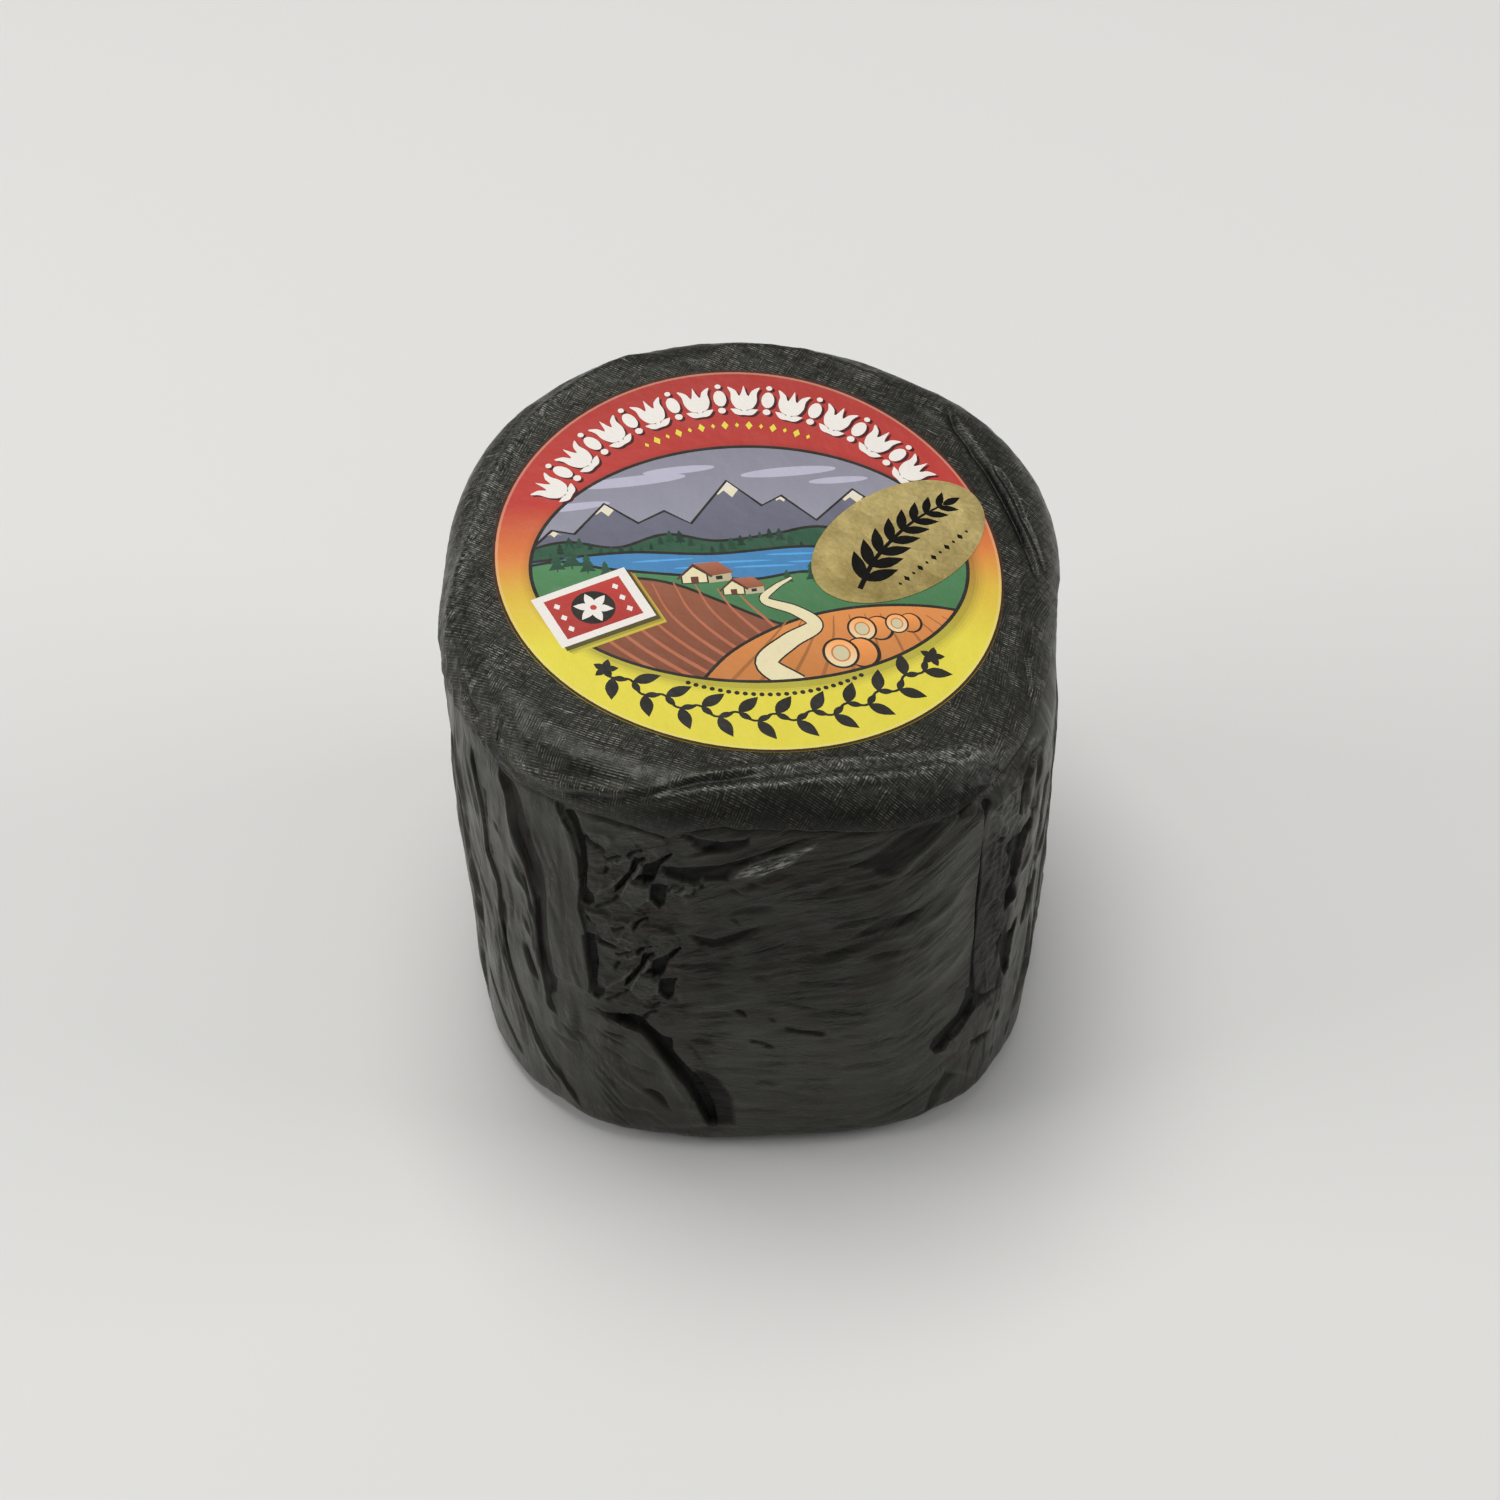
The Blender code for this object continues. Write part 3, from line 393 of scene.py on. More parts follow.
# Patches of the skin: from and to an angle, from and to a way, and how soft the edges are both ways
BROAD_PANEL = (256.0, 308.0, 50.0, 145.0, 4.0, 2.0)
CRUMPLED_STRIP = (240.5, 257.0, 60.0, 106.0, 1.2, 3.0)
RIGHT_STRIP = (310.5, 321.0, 54.0, 112.0, 1.0, 3.0)
TISSUE_PATCHES = ((192.0, 228.0, 50.0, 62.0, 5.0, 1.5), (304.0, 316.0, 49.5, 60.0, 3.0, 1.0))

# Broad painted shade and painted light on the top sheet: such a patch, and how dark, or how light where below
# 0
TOP_PAINTED_LIGHT_AND_SHADE = (
    (222.0, 322.0, 47.0, 70.0, 14.0, 3.0, 0.56),
    (140.0, 222.0, 41.0, 54.0, 14.0, 2.0, -0.30),
    (320.0, 400.0, 41.0, 54.0, 14.0, 2.0, -0.16),
)

# Broad painted shade and painted light on the side sheet: from and to an angle, from and to a way, and how
# dark, or how light where below 0
SIDE_PAINTED_LIGHT_AND_SHADE = (
    (180.0, 226.0, 60.0, 140.0, -0.10),
    (186.0, 240.0, 108.0, 140.0, -0.10),
    (240.5, 256.0, 56.0, 108.0, 0.20),
    (256.0, 300.0, 50.0, 98.0, 0.22),
    (262.0, 306.0, 106.0, 140.0, -0.18),
    (309.5, 319.5, 67.0, 112.0, 0.50),
    (294.0, 307.0, 62.0, 100.0, -0.28),
    (321.0, 350.0, 50.0, 112.0, -0.16),
)

# The angle at the middle of the front half. The back half is the front half turned by this many
# degrees, with paler painted shade in its folds, and each half draws its small unevenness from a seed of its
# own
FRONT_MIDDLE = 275.0
BACK_TURN = 178.0
BACK_SHADE = 0.65
FRONT_SEED = 11
BACK_SEED = 50

# Long folds at the two sides, beside either half, and the ways that they run over
SIDE_FOLD_TURNS = (172.0, 189.0, 199.5, 352.0, 9.0, 19.5)
SIDE_FOLD_WAYS = (57.0, 137.0)

# Routes that the columns of the side sheet's front half follow, so that its folds stay crisp
COLUMN_GUIDES = (
    ((184.0, 100.0),),
    ((200.0, 100.0),),
    ((214.5, 52), (216.3, 68), (217.2, 75), (217, 84), (219.6, 90), (219.3, 100), (220.7, 110.5),
     (223.9, 119), (228.3, 127), (234, 134), (237, 141)),
    ((223.1, 52), (223.2, 59), (225.9, 67), (228.2, 76), (229.4, 88), (229.8, 100), (230.8, 108),
     (232.4, 114), (238, 124), (245, 134), (249, 141)),
    ((235, 52), (235.8, 59), (238.7, 65), (239.3, 73), (238.9, 80), (239.7, 92), (239.9, 100),
     (241.5, 104), (247.5, 109.3), (251.6, 114.4), (254.7, 120), (257.8, 127), (260.3, 135.3), (262, 141)),
    ((256.5, 52), (255.2, 62), (254.6, 75), (255.2, 87), (255.2, 100), (259, 109), (263, 118), (266, 127),
     (269, 141)),
    ((290.0, 100.0),),
    ((308.4, 52), (309.2, 61), (309.2, 72), (308.9, 82), (310.1, 95), (310, 104), (308, 110),
     (305.5, 114), (303, 119), (303.5, 125), (304, 131), (302, 141)),
    ((321, 52), (323, 68), (319.6, 76), (318.3, 84), (321.5, 97), (320, 104), (319, 111), (315, 118),
     (314, 125), (315, 132), (314, 141)),
    ((349, 52), (345, 80), (339, 100), (335, 112), (328, 119), (325, 126), (324, 134), (322, 141)),
    ((354.0, 52.0), (347.0, 141.0)),
    ((366.5, 100.0),),
)

# Creases of the top sheet
TOP_CREASES = read_rows(Crease, (
    (-0.55, 1.1, 0, 3, 1, 4, -0.7, 257, 47.6, 270.4, 44.9, 284.9, 43.2, 299.4, 43.1, 316, 46.8),
    (-0.7, 1.2, 0, 3, 1, 5, -1, 223.5, 54.1, 236.4, 53.8, 249.9, 51.9, 259.7, 49.8, 270.4, 48.4, 283.6,
     46.9, 296.8, 46.8, 318, 47.4),
    (0.6, 0.7, 0, 2, 1, 4, 0.8, 236, 55.2, 245.4, 53.2, 253.8, 50.6, 259, 48.4, 271, 45.8),
    (0.7, 0.7, 0.5, 4, -1, 4, 0.8, 50, 48.8, 44.3, 45.5, 37.9, 44.5, 29.7, 44.2, 22.6, 44.6, 15, 46, 7.3,
     48.2, 1.2, 49.7),
    (0.3, 0.4, 0.2, 2, -1, 3, 0.5, 40.3, 44.2, 34.5, 43.9, 26.4, 44, 19, 45, 10.5, 47),
    (0.5, 0.5, 0.3, 3, -1, 3, 0.7, 33, 45.2, 26, 45.8, 18, 46.7, 11, 48.8, 3, 51),
    (-0.6, 1.3, 0, 3, 1, 6, -0.4, 110, 50, 130, 47.5, 150, 46.5, 178, 48.5, 202, 52.5),
    (-0.4, 1.2, 0, 3, 1, 5, -0.3, 60, 47, 80, 49, 100, 48),
    (0.4, 0.5, 0.2, 2, 1, 2, 0.6, 207.9, 51.5, 210.3, 52.3, 213.9, 53.1, 217.5, 53.6),
    (0.4, 0.7, 0.3, 3, 1, 3, 0.5, 330, 49, 340, 47, 352, 48.5),
))

# Print is laid out in millimetres from the middle of its sheet, with up as the reader's up. These are
# the label's turn, its picture's field, its card, how far its ornaments are from the middle, and how
# wide the outlines in its picture are
LABEL_TURN = 8.0
FIELD_CENTRE = (0.0, -1.5)
FIELD_HALF_WIDTH = 35.0
FIELD_HALF_HEIGHT = 25.0
CARD_CENTRE = (-26.2, -9.3)
CARD_TURN = 20.0
CARD_HALF_WIDTH = 8.2
CARD_HALF_HEIGHT = 5.7
FLOWER_RADIUS = 34.4
LOZENGE_RADIUS = 28.7
TWIG_RADIUS = 34.2
DOT_RADIUS = 29.5
OUTLINE_WIDTH = 0.56

# A layer of print: its outline, its colours at its lowest and highest points, the number of the layer
# that it is cut to, or None, and how much it covers of what is under it
Layer = namedtuple("Layer", "outline low high clip cover")

# Parts of one half of the side sheet: a name, the first and last guide of its columns, how many
# columns it has, and where they lie closer together, with half of how wide that is and how much closer
SidePart = namedtuple("SidePart", "name first last columns zones")

SIDE_PARTS = (
    SidePart("left", 0, 4, 230, ((218.7, 0.9, 3.0), (229.4, 1.5, 3.0), (239.5, 0.8, 3.0))),
    SidePart("middle", 4, 7, 365, ((239.5, 1.2, 3.0), (247.5, 8.5, 1.3), (309.3, 0.8, 3.0))),
    SidePart("right", 7, 11, 230, ((309.3, 0.8, 3.0), (316.0, 6.5, 1.5))),
)

# How finely the sheets are built
TOP_COLUMNS = 780
TOP_ROWS = 74
SIDE_ROWS = 270
BACK_ROWS = 178
BASE_COLUMNS = 360
BASE_ROWS = 40

# The top sheet's few rows under the label, and where its close rows start
COVERED_WAYS = (3.0, 12.0, 22.0, 30.0, 36.0)
CLOSE_ROWS_WAY = 38.5

# Where the top sheet starts to wrinkle, and where it rises to its hem
RIM_WAYS = (42.0, 47.0)
RISE_WAYS = (45.5, 52.0)

# The side sheet starts this far under the hem and ends this far under the base. Its rows are counted
# from a level above the hem, lie closer in a zone, and its guides are spaced as they are at one level
TUCK_UNDER = 3.0
PAST_FOOT = 1.2
FIRST_LEVEL = 52.0
ROW_ZONES = ((84.0, 30.0, 0.8),)
HOME_LEVEL = 90.0

# How much the upright wrinkles lean, for each millimetre down, and the angle that the broad panel's
# flow is measured from
SIDE_LEAN = 0.07
FLOW_HOME = 258.0

# The back half's upright edges are sunk under the front half's by this much on the side, and by this
# much less at the foot. The front half's edges are pressed down by a smaller depth
BACK_EDGE_DEPTH = 0.45
FOOT_EDGE_CUT = 0.38
FRONT_EDGE_DEPTH = 0.40

# The gathers start this far out of the base's edge, and turn this far round on their way to the middle
GATHER_LAP = 0.4
GATHER_TWIST = 44.0

# The printed sheets are cut into triangles between rows of points, which lie this share of a spacing
# apart. Only triangles inside the edge are kept, and edges sharper than the angle stay sharp
ROW_STEP = 0.866
CDT_INSIDE = 1
CDT_PRECISION = 1e-4
SHARP_ANGLE = 40.0
NO_INK = (0.0, 0.0, 0.0, 0.0)

# How far apart the points of the printed sheets are, how many there are round their edges, and how far
# each sheet lies above what it is stuck on
LABEL_SPACING = 1.6
STICKER_SPACING = 1.2
LABEL_EDGE_POINTS = 320
STICKER_EDGE_POINTS = 200
LABEL_LIFT = 0.02
STICKER_LIFT = 0.03

# The stage, in metres: the point that the camera and the lights face, the camera's sensor, the nearest
# that it sees, the floor's half width, and the colour of the light all round
TARGET = Vector((-0.00119, 0.0, 0.04685))
SENSOR_WIDTH = 36.0
NEAREST_SEEN = 0.01
FLOOR_REACH = 4.0
AIR_COLOUR = (0.93, 0.94, 0.96, 1.0)

# The lights: a name, the setting of its power, its share of that, its width and its place
LIGHTS = (
    ("key", "key", 1.0, 0.80, (-0.15, 0.25, 1.50)),
    ("left_side", "side", 1.0, 0.70, (-1.20, -0.15, 0.60)),
    ("right_side", "side", 0.8, 0.70, (1.20, 0.00, 0.65)),
)


def eased(low, high, values):
    """A smooth step from 0 at low to 1 at high."""
    share = np.clip((values - low) / (high - low), 0.0, 1.0)
    return share * share * (3.0 - 2.0 * share)


def turned_from(home, angle):
    """The turn from home to angle, in degrees from -180 to 180."""
    return (angle - home + 180.0) % 360.0 - 180.0


def bell(values, width):
    """A smooth bump that is 1 in the middle."""
    return np.exp(-((values / width) ** 2))


def wave_share(plan_waves, turn):
    """The radius of a wavy plan at a turn in radians, as a share of the plain circle's."""
    share = np.ones_like(turn)
    for waves, cosine, sine in plan_waves:
        share = share + cosine * np.cos(waves * turn) + sine * np.sin(waves * turn)
    return share


def top_height(x, y):
    """The height of the wheel's slanting, slightly saddle-shaped top."""
    slope = TOP_SLOPE_X * x + TOP_SLOPE_Y * y
    saddle = (TOP_SADDLE * (x * x - y * y) + TOP_TWIST * x * y) / WHEEL_RADIUS
    dome = TOP_DOME * (1.0 - np.clip(np.hypot(x, y) / WHEEL_RADIUS, 0.0, 1.0) ** 2)
    return WHEEL_HEIGHT + slope + saddle + dome


def skin_points(angle, way, relief):
    """Points on the skin for angles in degrees, ways and reliefs in millimetres."""
    turn = np.radians(angle)
    way = way * MM
    over_shoulder = np.clip((way - SHOULDER_WAY) / SHOULDER_RADIUS, 0.0, math.pi / 2)
    round_foot = np.clip((way - FOOT_WAY) / FOOT_RADIUS, 0.0, math.pi / 2)
    down_side = np.clip(way - SIDE_WAY, 0.0, FOOT_WAY - SIDE_WAY)
    under_base = np.clip(way - BASE_WAY, 0.0, None)
    radius = np.minimum(way, SHOULDER_WAY) + SHOULDER_RADIUS * np.sin(over_shoulder)
    radius = radius - FOOT_RADIUS * (1.0 - np.cos(round_foot)) - under_base
    height = WHEEL_HEIGHT - SHOULDER_RADIUS * (1.0 - np.cos(over_shoulder)) - down_side
    height = height - FOOT_RADIUS * np.sin(round_foot)
    outward = np.sin(over_shoulder) * np.cos(round_foot)
    upward = np.cos(over_shoulder) - np.sin(round_foot)
    up_share = np.clip(height / WHEEL_HEIGHT, 0.0, 1.0)
    foot_spread = FOOT_BODY_RADIUS / WHEEL_RADIUS * wave_share(FOOT_WAVES, turn)
    spread = foot_spread + (wave_share(TOP_WAVES, turn) - foot_spread) * up_share
    radius = radius + relief * MM * outward
    height = np.clip(height + relief * MM * upward, 0.0, None)
    x = radius * spread * np.cos(turn)
    y = radius * spread * np.sin(turn)
    z = height + up_share * (top_height(x, y) - WHEEL_HEIGHT)
    return np.stack([x, y, z], axis=-1)


def from_label(angle, way):
    """The distance of a place on the smooth top from the label's middle, in millimetres."""
    points = skin_points(angle, way, 0.0) / MM
    across = points[..., 0] - LABEL_CENTRE[0] / MM
    return np.hypot(across, points[..., 1] - LABEL_CENTRE[1] / MM)


def unevenness(angle, way, cells, size, seed):
    """Smooth noise from -1 to 1 that closes round the wheel, with cells round it, each this long down it."""
    rows = 400
    lattice = np.random.default_rng(seed).uniform(-1.0, 1.0, (rows, cells))
    across = (angle % 360.0) / 360.0 * cells
    down = way / size + 0.5 * rows
    column = np.floor(across).astype(int)
    row = np.floor(down).astype(int)
    share_across = eased(0.0, 1.0, across - column)
    share_down = eased(0.0, 1.0, down - row)
    left = column % cells
    right = (column + 1) % cells
    upper = row % rows
    lower = (row + 1) % rows
    above = lattice[upper, left] * (1.0 - share_across) + lattice[upper, right] * share_across
    below = lattice[lower, left] * (1.0 - share_across) + lattice[lower, right] * share_across
    return above * (1.0 - share_down) + below * share_down


def off_route(route, angle, way):
    """How far each place is off a route, on which side, how far along the route, and its whole length."""
    home = 0.5 * (route[0][0] + route[-1][0])
    across = np.radians(turned_from(home, angle)) * SKIN_RADIUS
    corners = [(math.radians(turned_from(home, place)) * SKIN_RADIUS, down) for place, down in route]
    off = np.full(across.shape, np.inf)
    side = np.ones(across.shape)
    run = np.zeros(across.shape)
    gone = 0.0
    for (x_0, y_0), (x_1, y_1) in zip(corners, corners[1:]):
        step_x = x_1 - x_0
        step_y = y_1 - y_0
        length = math.hypot(step_x, step_y)
        if length == 0.0:
            continue
        share = np.clip(((across - x_0) * step_x + (way - y_0) * step_y) / length**2, 0.0, 1.0)
        miss_x = across - x_0 - share * step_x
        miss_y = way - y_0 - share * step_y
        distance = np.hypot(miss_x, miss_y)
        nearer = distance < off
        off = np.where(nearer, distance, off)
        side = np.where(nearer, np.sign(step_x * miss_y - step_y * miss_x), side)
        run = np.where(nearer, gone + share * length, run)
        gone += length
    return off, side, run, gone


def near_route(route, reach, angle, way):
    """Which places lie in the route's box, widened by a reach."""
    home = 0.5 * (route[0][0] + route[-1][0])
    turns = [turned_from(home, place) for place, _ in route]
    ways = [down for _, down in route]
    margin = math.degrees(reach / SKIN_RADIUS)
    turn = turned_from(home, angle)
    inside = (turn > min(turns) - margin) & (turn < max(turns) + margin)
    return inside & (way > min(ways) - reach) & (way < max(ways) + reach)


def add_crease(crease, angle, way, relief, shade):
    """Presses one crease into the relief, and paints shade, or light, along it."""
    near = near_route(crease.route, 3.0 * (abs(crease.width) + crease.lap), angle, way)
    if not near.any():
        return
    off, side, run, whole = off_route(crease.route, angle[near], way[near])
    over = side * crease.side * off
    width = crease.width
    lap = eased(-0.3 * width, 0.3 * width, over) * np.exp(-np.clip(over, 0.0, None) / max(crease.lap, 0.1))
    in_groove = over + (0.6 * width if crease.step else 0.0)
    ends = eased(0.0, crease.fade, run) * (1.0 - eased(whole - crease.fade, whole, run))
    relief[near] += ends * (crease.step * lap - crease.depth * bell(in_groove, width))
    shade[near] += ends * crease.dark * bell(in_groove, 1.15 * width)


def add_hollow(hollow, angle, way, relief, shade):
    """Presses one hollow, or raises one pillow, and paints shade in it, or light on it."""
    route = hollow.route + hollow.route[:1]
    near = near_route(route, 2.0 * hollow.soft, angle, way)
    if not near.any():
        return
    off, _, _, _ = off_route(route, angle[near], way[near])
    across = turned_from(route[0][0], angle[near])
    down = way[near]
    inside = np.zeros(across.shape, dtype=bool)
    for (angle_0, way_0), (angle_1, way_1) in zip(route, route[1:]):
        crosses = (way_0 > down) != (way_1 > down)
        turn_0 = turned_from(route[0][0], angle_0)
        turn_1 = turned_from(route[0][0], angle_1)
        share = (down - way_0) / (way_1 - way_0) if way_1 != way_0 else 0.0
        inside ^= crosses & (across < turn_0 + share * (turn_1 - turn_0))
    depth = eased(-0.4 * hollow.soft, 1.4 * hollow.soft, np.where(inside, off, -off))
    relief[near] -= hollow.depth * depth
    shade[near] += hollow.dark * depth


def moved(rows, turn, down=0.0):
    """Creases, wrinkles or hollows with their routes moved further round and further down."""
    routes = [tuple((angle + turn, way + down) for angle, way in row.route) for row in rows]
    return [row._replace(route=route) for row, route in zip(rows, routes)]


def soft_crease(route, depth, width, dark):
    """A wrinkle as a crease with a low lap above it or on its outer side, that tapers to both ends."""
    length = sum(math.hypot((a - c) * MM_PER_DEGREE, b - d) for (a, b), (c, d) in zip(route, route[1:]))
    across = route[-1][0] - route[0][0]
    down = route[-1][1] - route[0][1]
    if abs(across) > abs(down):
        side = -math.copysign(1.0, across)
    else:
        left = route[0][0] % BACK_TURN < FRONT_MIDDLE % BACK_TURN
        side = math.copysign(1.0, down) * (1 if left else -1)
    step = max(0.0, 0.9 * depth)
    fade = 0.45 * length
    return Crease(route, depth=0.7 * depth, width=width, step=step, lap=2.4, side=side, fade=fade, dark=dark)


def scattered_wrinkles(turn, seed):
    """Many faint wrinkles over one half of the side sheet."""
    draw = np.random.default_rng(seed)
    made = []
    for first, last, upper, lower, count, reach, deepest, lean in WRINKLE_FIELDS:
        for _ in range(count):
            angle = draw.uniform(first, last)
            way = draw.uniform(upper, lower)
            length = reach * draw.uniform(0.4, 1.3)
            steps = np.linspace(-0.5, 0.5, WRINKLE_POINTS) * length
            if lean is None:
                angles = np.clip(angle + steps / MM_PER_DEGREE, first, last)
                level = np.full(WRINKLE_POINTS, way)
                ways = level - flow_way(angles, level) + flow_way(0.0 * level + angle, level)
            else:
                angles = angle + lean * steps + 0.9 * np.sin(0.25 * steps + angle)
                ways = np.clip(way + steps, upper, lower)
            depth = draw.choice((-1.0, 1.0, 1.0)) * draw.uniform(0.06, deepest)
            width = draw.uniform(0.25, 0.7) * (1.0 + abs(depth))
            made.append(soft_crease(tuple(zip(angles + turn, ways)), depth, width, 0.5 * depth))
    return made


def side_creases(turn, seed):
    """The creases of one half of the side sheet, and the long folds beside it."""
    whole = moved(PLATE_EDGES + SMALL_CREASES, turn)
    for step, down in CRUMPLE_STEPS:
        whole += moved(CRUMPLE_CREASES, turn + step, down)
    whole += [soft_crease(*each) for each in moved(SHOWN_WRINKLES, turn)]
    ways = np.linspace(*SIDE_FOLD_WAYS, 13)
    for number, home in enumerate(SIDE_FOLD_TURNS):
        drift = 0.06 * math.cos(2.4 * number) * (ways - ways[0])
        angles = home + turn + drift + 1.1 * np.sin(0.11 * ways + 2.0 * number)
        angles = angles + 0.4 * np.sin(0.3 * ways + number)
        side = 1 if number % 2 else -1
        route = tuple(zip(angles, ways))
        whole.append(Crease(route, depth=0.25, width=0.4, step=0.55, lap=7.0, side=side, fade=9.0, dark=0.35))
    return whole + scattered_wrinkles(turn, seed)


def side_hollows(turn):
    """The hollows of one half of the side sheet."""
    whole = moved(SHOWN_HOLLOWS, turn)
    for step, down in CRUMPLE_STEPS:
        whole += moved(CRUMPLE_HOLLOWS, turn + step, down)
    return whole


def patch(angle, way, first, last, upper, lower, soft_turn, soft_way):
    """A share that is 1 inside a patch of the skin and fades at its edges."""
    off = np.abs(turned_from(0.5 * (first + last), angle))
    half = 0.5 * (last - first)
    inside = 1.0 - eased(half - soft_turn, half + soft_turn, off)
    down = eased(upper - soft_way, upper + soft_way, way)
    return inside * down * (1.0 - eased(lower - soft_way, lower + soft_way, way))


def flow_way(angle, way):
    """The way along which the wrinkles of the broad panel run level. They climb towards its right."""
    places = np.linspace(-60.0, 90.0, 301)
    above = 0.55 - 0.30 * eased(14.0, 20.0, places) + 0.85 * eased(27.0, 37.0, places)
    below = 0.85 * eased(27.0, 40.0, places) - 0.12
    across = turned_from(FLOW_HOME, angle) * MM_PER_DEGREE
    climbs = []
    for slope in (above, below):
        rise = np.cumsum(slope) * (places[1] - places[0])
        climbs.append(np.interp(across, places, rise - np.interp(22.0, places, rise)))
    lowness = eased(70.0, 130.0, way)
    return way + climbs[0] * (1.0 - lowness) + climbs[1] * lowness


def wrinkles(angle, way, seed):
    """The broad unevenness of a half of the side sheet, laid out as on the front, and how crumpled it is."""
    broad = patch(angle, way, *BROAD_PANEL)
    crumpled = patch(angle, way, *CRUMPLED_STRIP) + 0.6 * patch(angle, way, *RIGHT_STRIP)
    upright = np.clip(1.0 - broad - crumpled, 0.0, 1.0)

    flow = flow_way(angle, way)
    flowing = 0.0
    for rise, cells, size, draw in ((0.42, 24, 3.4, 0), (0.13, 56, 1.7, 1), (0.06, 90, 0.9, 6)):
        flowing = flowing + rise * np.abs(unevenness(angle, flow, cells, size, seed=seed + draw))
    flowing = flowing + 0.55 * unevenness(angle, flow, 13, 7.0, seed=seed + 2)
    flowing = flowing * (1.0 - 0.45 * eased(98.0, 112.0, way))

    lean = angle + SIDE_LEAN * (way - HOME_LEVEL)
    standing = 0.20 * np.abs(unevenness(lean, way, 96, 26.0, seed=seed + 3))
    standing = standing + 0.09 * np.abs(unevenness(lean, way, 230, 12.0, seed=seed + 4))
    standing = standing + 0.42 * unevenness(lean, way, 40, 24.0, seed=seed + 5)

    facets = 0.0
    for rise, cells, size in ((0.38, 80, 4.2), (0.34, 150, 2.2), (0.18, 300, 1.1)):
        facet = np.abs(unevenness(angle + 0.5 * way, way, cells, size, seed=seed + cells))
        facets = facets + rise * (0.5 - facet)
    crumpling = np.clip(0.45 * upright + broad + 0.8 * crumpled, 0.0, 1.0)
    return broad * flowing + upright * standing + crumpled * facets, crumpling


def hem_way(angle):
    """The way down the skin of the top sheet's hem."""
    angles = [place for place, _ in HEM_ROUTE]
    ways = [way for _, way in HEM_ROUTE]
    hem = np.interp(angle % 360.0, angles, ways, period=360.0)
    return hem + 0.25 * unevenness(angle, 0.0 * angle, 120, 1.0, seed=21)


def crowded(first, last, count, zones):
    """Places from first to last that lie closer together in zones: their middles, half widths and pull."""
    fine = np.linspace(first, last, 4001)
    density = np.ones_like(fine)
    for middle, half, pull in zones:
        density = density + pull * (1.0 - eased(0.7 * half, 1.3 * half, np.abs(fine - middle)))
    share = np.concatenate([[0.0], np.cumsum(0.5 * (density[1:] + density[:-1]))])
    return np.interp(np.linspace(0.0, share[-1], count), share, fine)


def guides_at(level):
    """The angle of each guide at a level, which is a way down the skin."""
    return [np.interp(level, *zip(*((way, angle) for angle, way in guide))) for guide in COLUMN_GUIDES]


def guided_angles(homes, levels):
    """The angle of each column at each row: the columns follow their guides down the skin."""
    return np.stack([np.interp(homes, guides_at(HOME_LEVEL), guides_at(level)) for level in levels])


def sheet_mesh(name, points, closed=True, closed_middle=False, last_point=None):
    """A mesh over a grid of points, in rows that can close round the wheel. Its faces look outward.

    It can start with a face inside its first row, and can end in a single last point."""
    rows, columns = points.shape[:2]
    number = np.arange(rows * columns).reshape(rows, columns)
    after = np.roll(number, -1, axis=1)
    faces = np.stack([number[:-1], number[1:], after[1:], after[:-1]], axis=-1)
    faces = faces.reshape(-1, 4) if closed else faces[:, :-1].reshape(-1, 4)
    mesh = bpy.data.meshes.new(name)
    places = points.reshape(-1, 3)
    polygons = faces.tolist()
    if closed_middle:
        polygons.append(number[0].tolist())
    if last_point is not None:
        places = np.concatenate([places, last_point[None, :]])
        end = rows * columns
        polygons += [(first, end, second) for first, second in zip(number[-1].tolist(), after[-1].tolist())]
    mesh.from_pydata(places.tolist(), [], polygons)
    mesh.shade_smooth()
    mesh.update()
    return mesh


def write_attribute(mesh, name, values):
    """Stores a value, or a vector of three, for each point of a mesh, for its finish to read."""
    values = np.asarray(values, dtype=np.float32).ravel()
    is_vector = len(values) > len(mesh.vertices)
    stored = mesh.attributes.new(name, "FLOAT_VECTOR" if is_vector else "FLOAT", "POINT")
    stored.data.foreach_set("vector" if is_vector else "value", values)


def add_piece(name, mesh, finish, nodes):
    """Links a piece that rides on the wheel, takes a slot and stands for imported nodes."""
    piece = bpy.data.objects.new(name, mesh)
    bpy.context.scene.collection.objects.link(piece)
    mesh.materials.append(finish)
    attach(piece, "root")
    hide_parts(*nodes)
    return piece


def add_node(tree, kind, options=None, inputs=None):
    """Adds a shader node, sets its options, and fills its inputs with values or with other outputs."""
    made = tree.nodes.new(kind)
    for name, value in (options or {}).items():
        setattr(made, name, value)
    for name, value in (inputs or {}).items():
        if isinstance(value, bpy.types.NodeSocket):
            tree.links.new(value, made.inputs[name])
        else:
            made.inputs[name].default_value = value
    return made


def reckon(tree, operation, first, second=0.0):
    """The result of a sum on two values or outputs."""
    made = add_node(tree, "ShaderNodeMath", {"operation": operation}, {0: first, 1: second})
    return made.outputs[0]


def times(tree, first, second):
    """One value or output times another."""
    return reckon(tree, "MULTIPLY", first, second)


def plus(tree, first, second):
    """One value or output added to another."""
    return reckon(tree, "ADD", first, second)


def rescaled(tree, value, low, high, to_low=0.0, to_high=1.0):
    """A value moved smoothly from one range to another, and held there."""
    inputs = {"Value": value, "From Min": low, "From Max": high, "To Min": to_low, "To Max": to_high}
    made = add_node(tree, "ShaderNodeMapRange", {"interpolation_type": "SMOOTHSTEP"}, inputs)
    return made.outputs["Result"]


def rescaled_plainly(tree, value, low, high):
    """A value moved evenly from a range to 0 to 1."""
    inputs = {"Value": value, "From Min": low, "From Max": high}
    return add_node(tree, "ShaderNodeMapRange", None, inputs).outputs["Result"]


def mixed(tree, share, low, high):
    """A colour between two colours or outputs."""
    low = low if isinstance(low, bpy.types.NodeSocket) else (*low, 1.0)
    high = high if isinstance(high, bpy.types.NodeSocket) else (*high, 1.0)
    made = add_node(tree, "ShaderNodeMix", {"data_type": "RGBA"}, {0: share, 6: low, 7: high})
    return made.outputs[2]


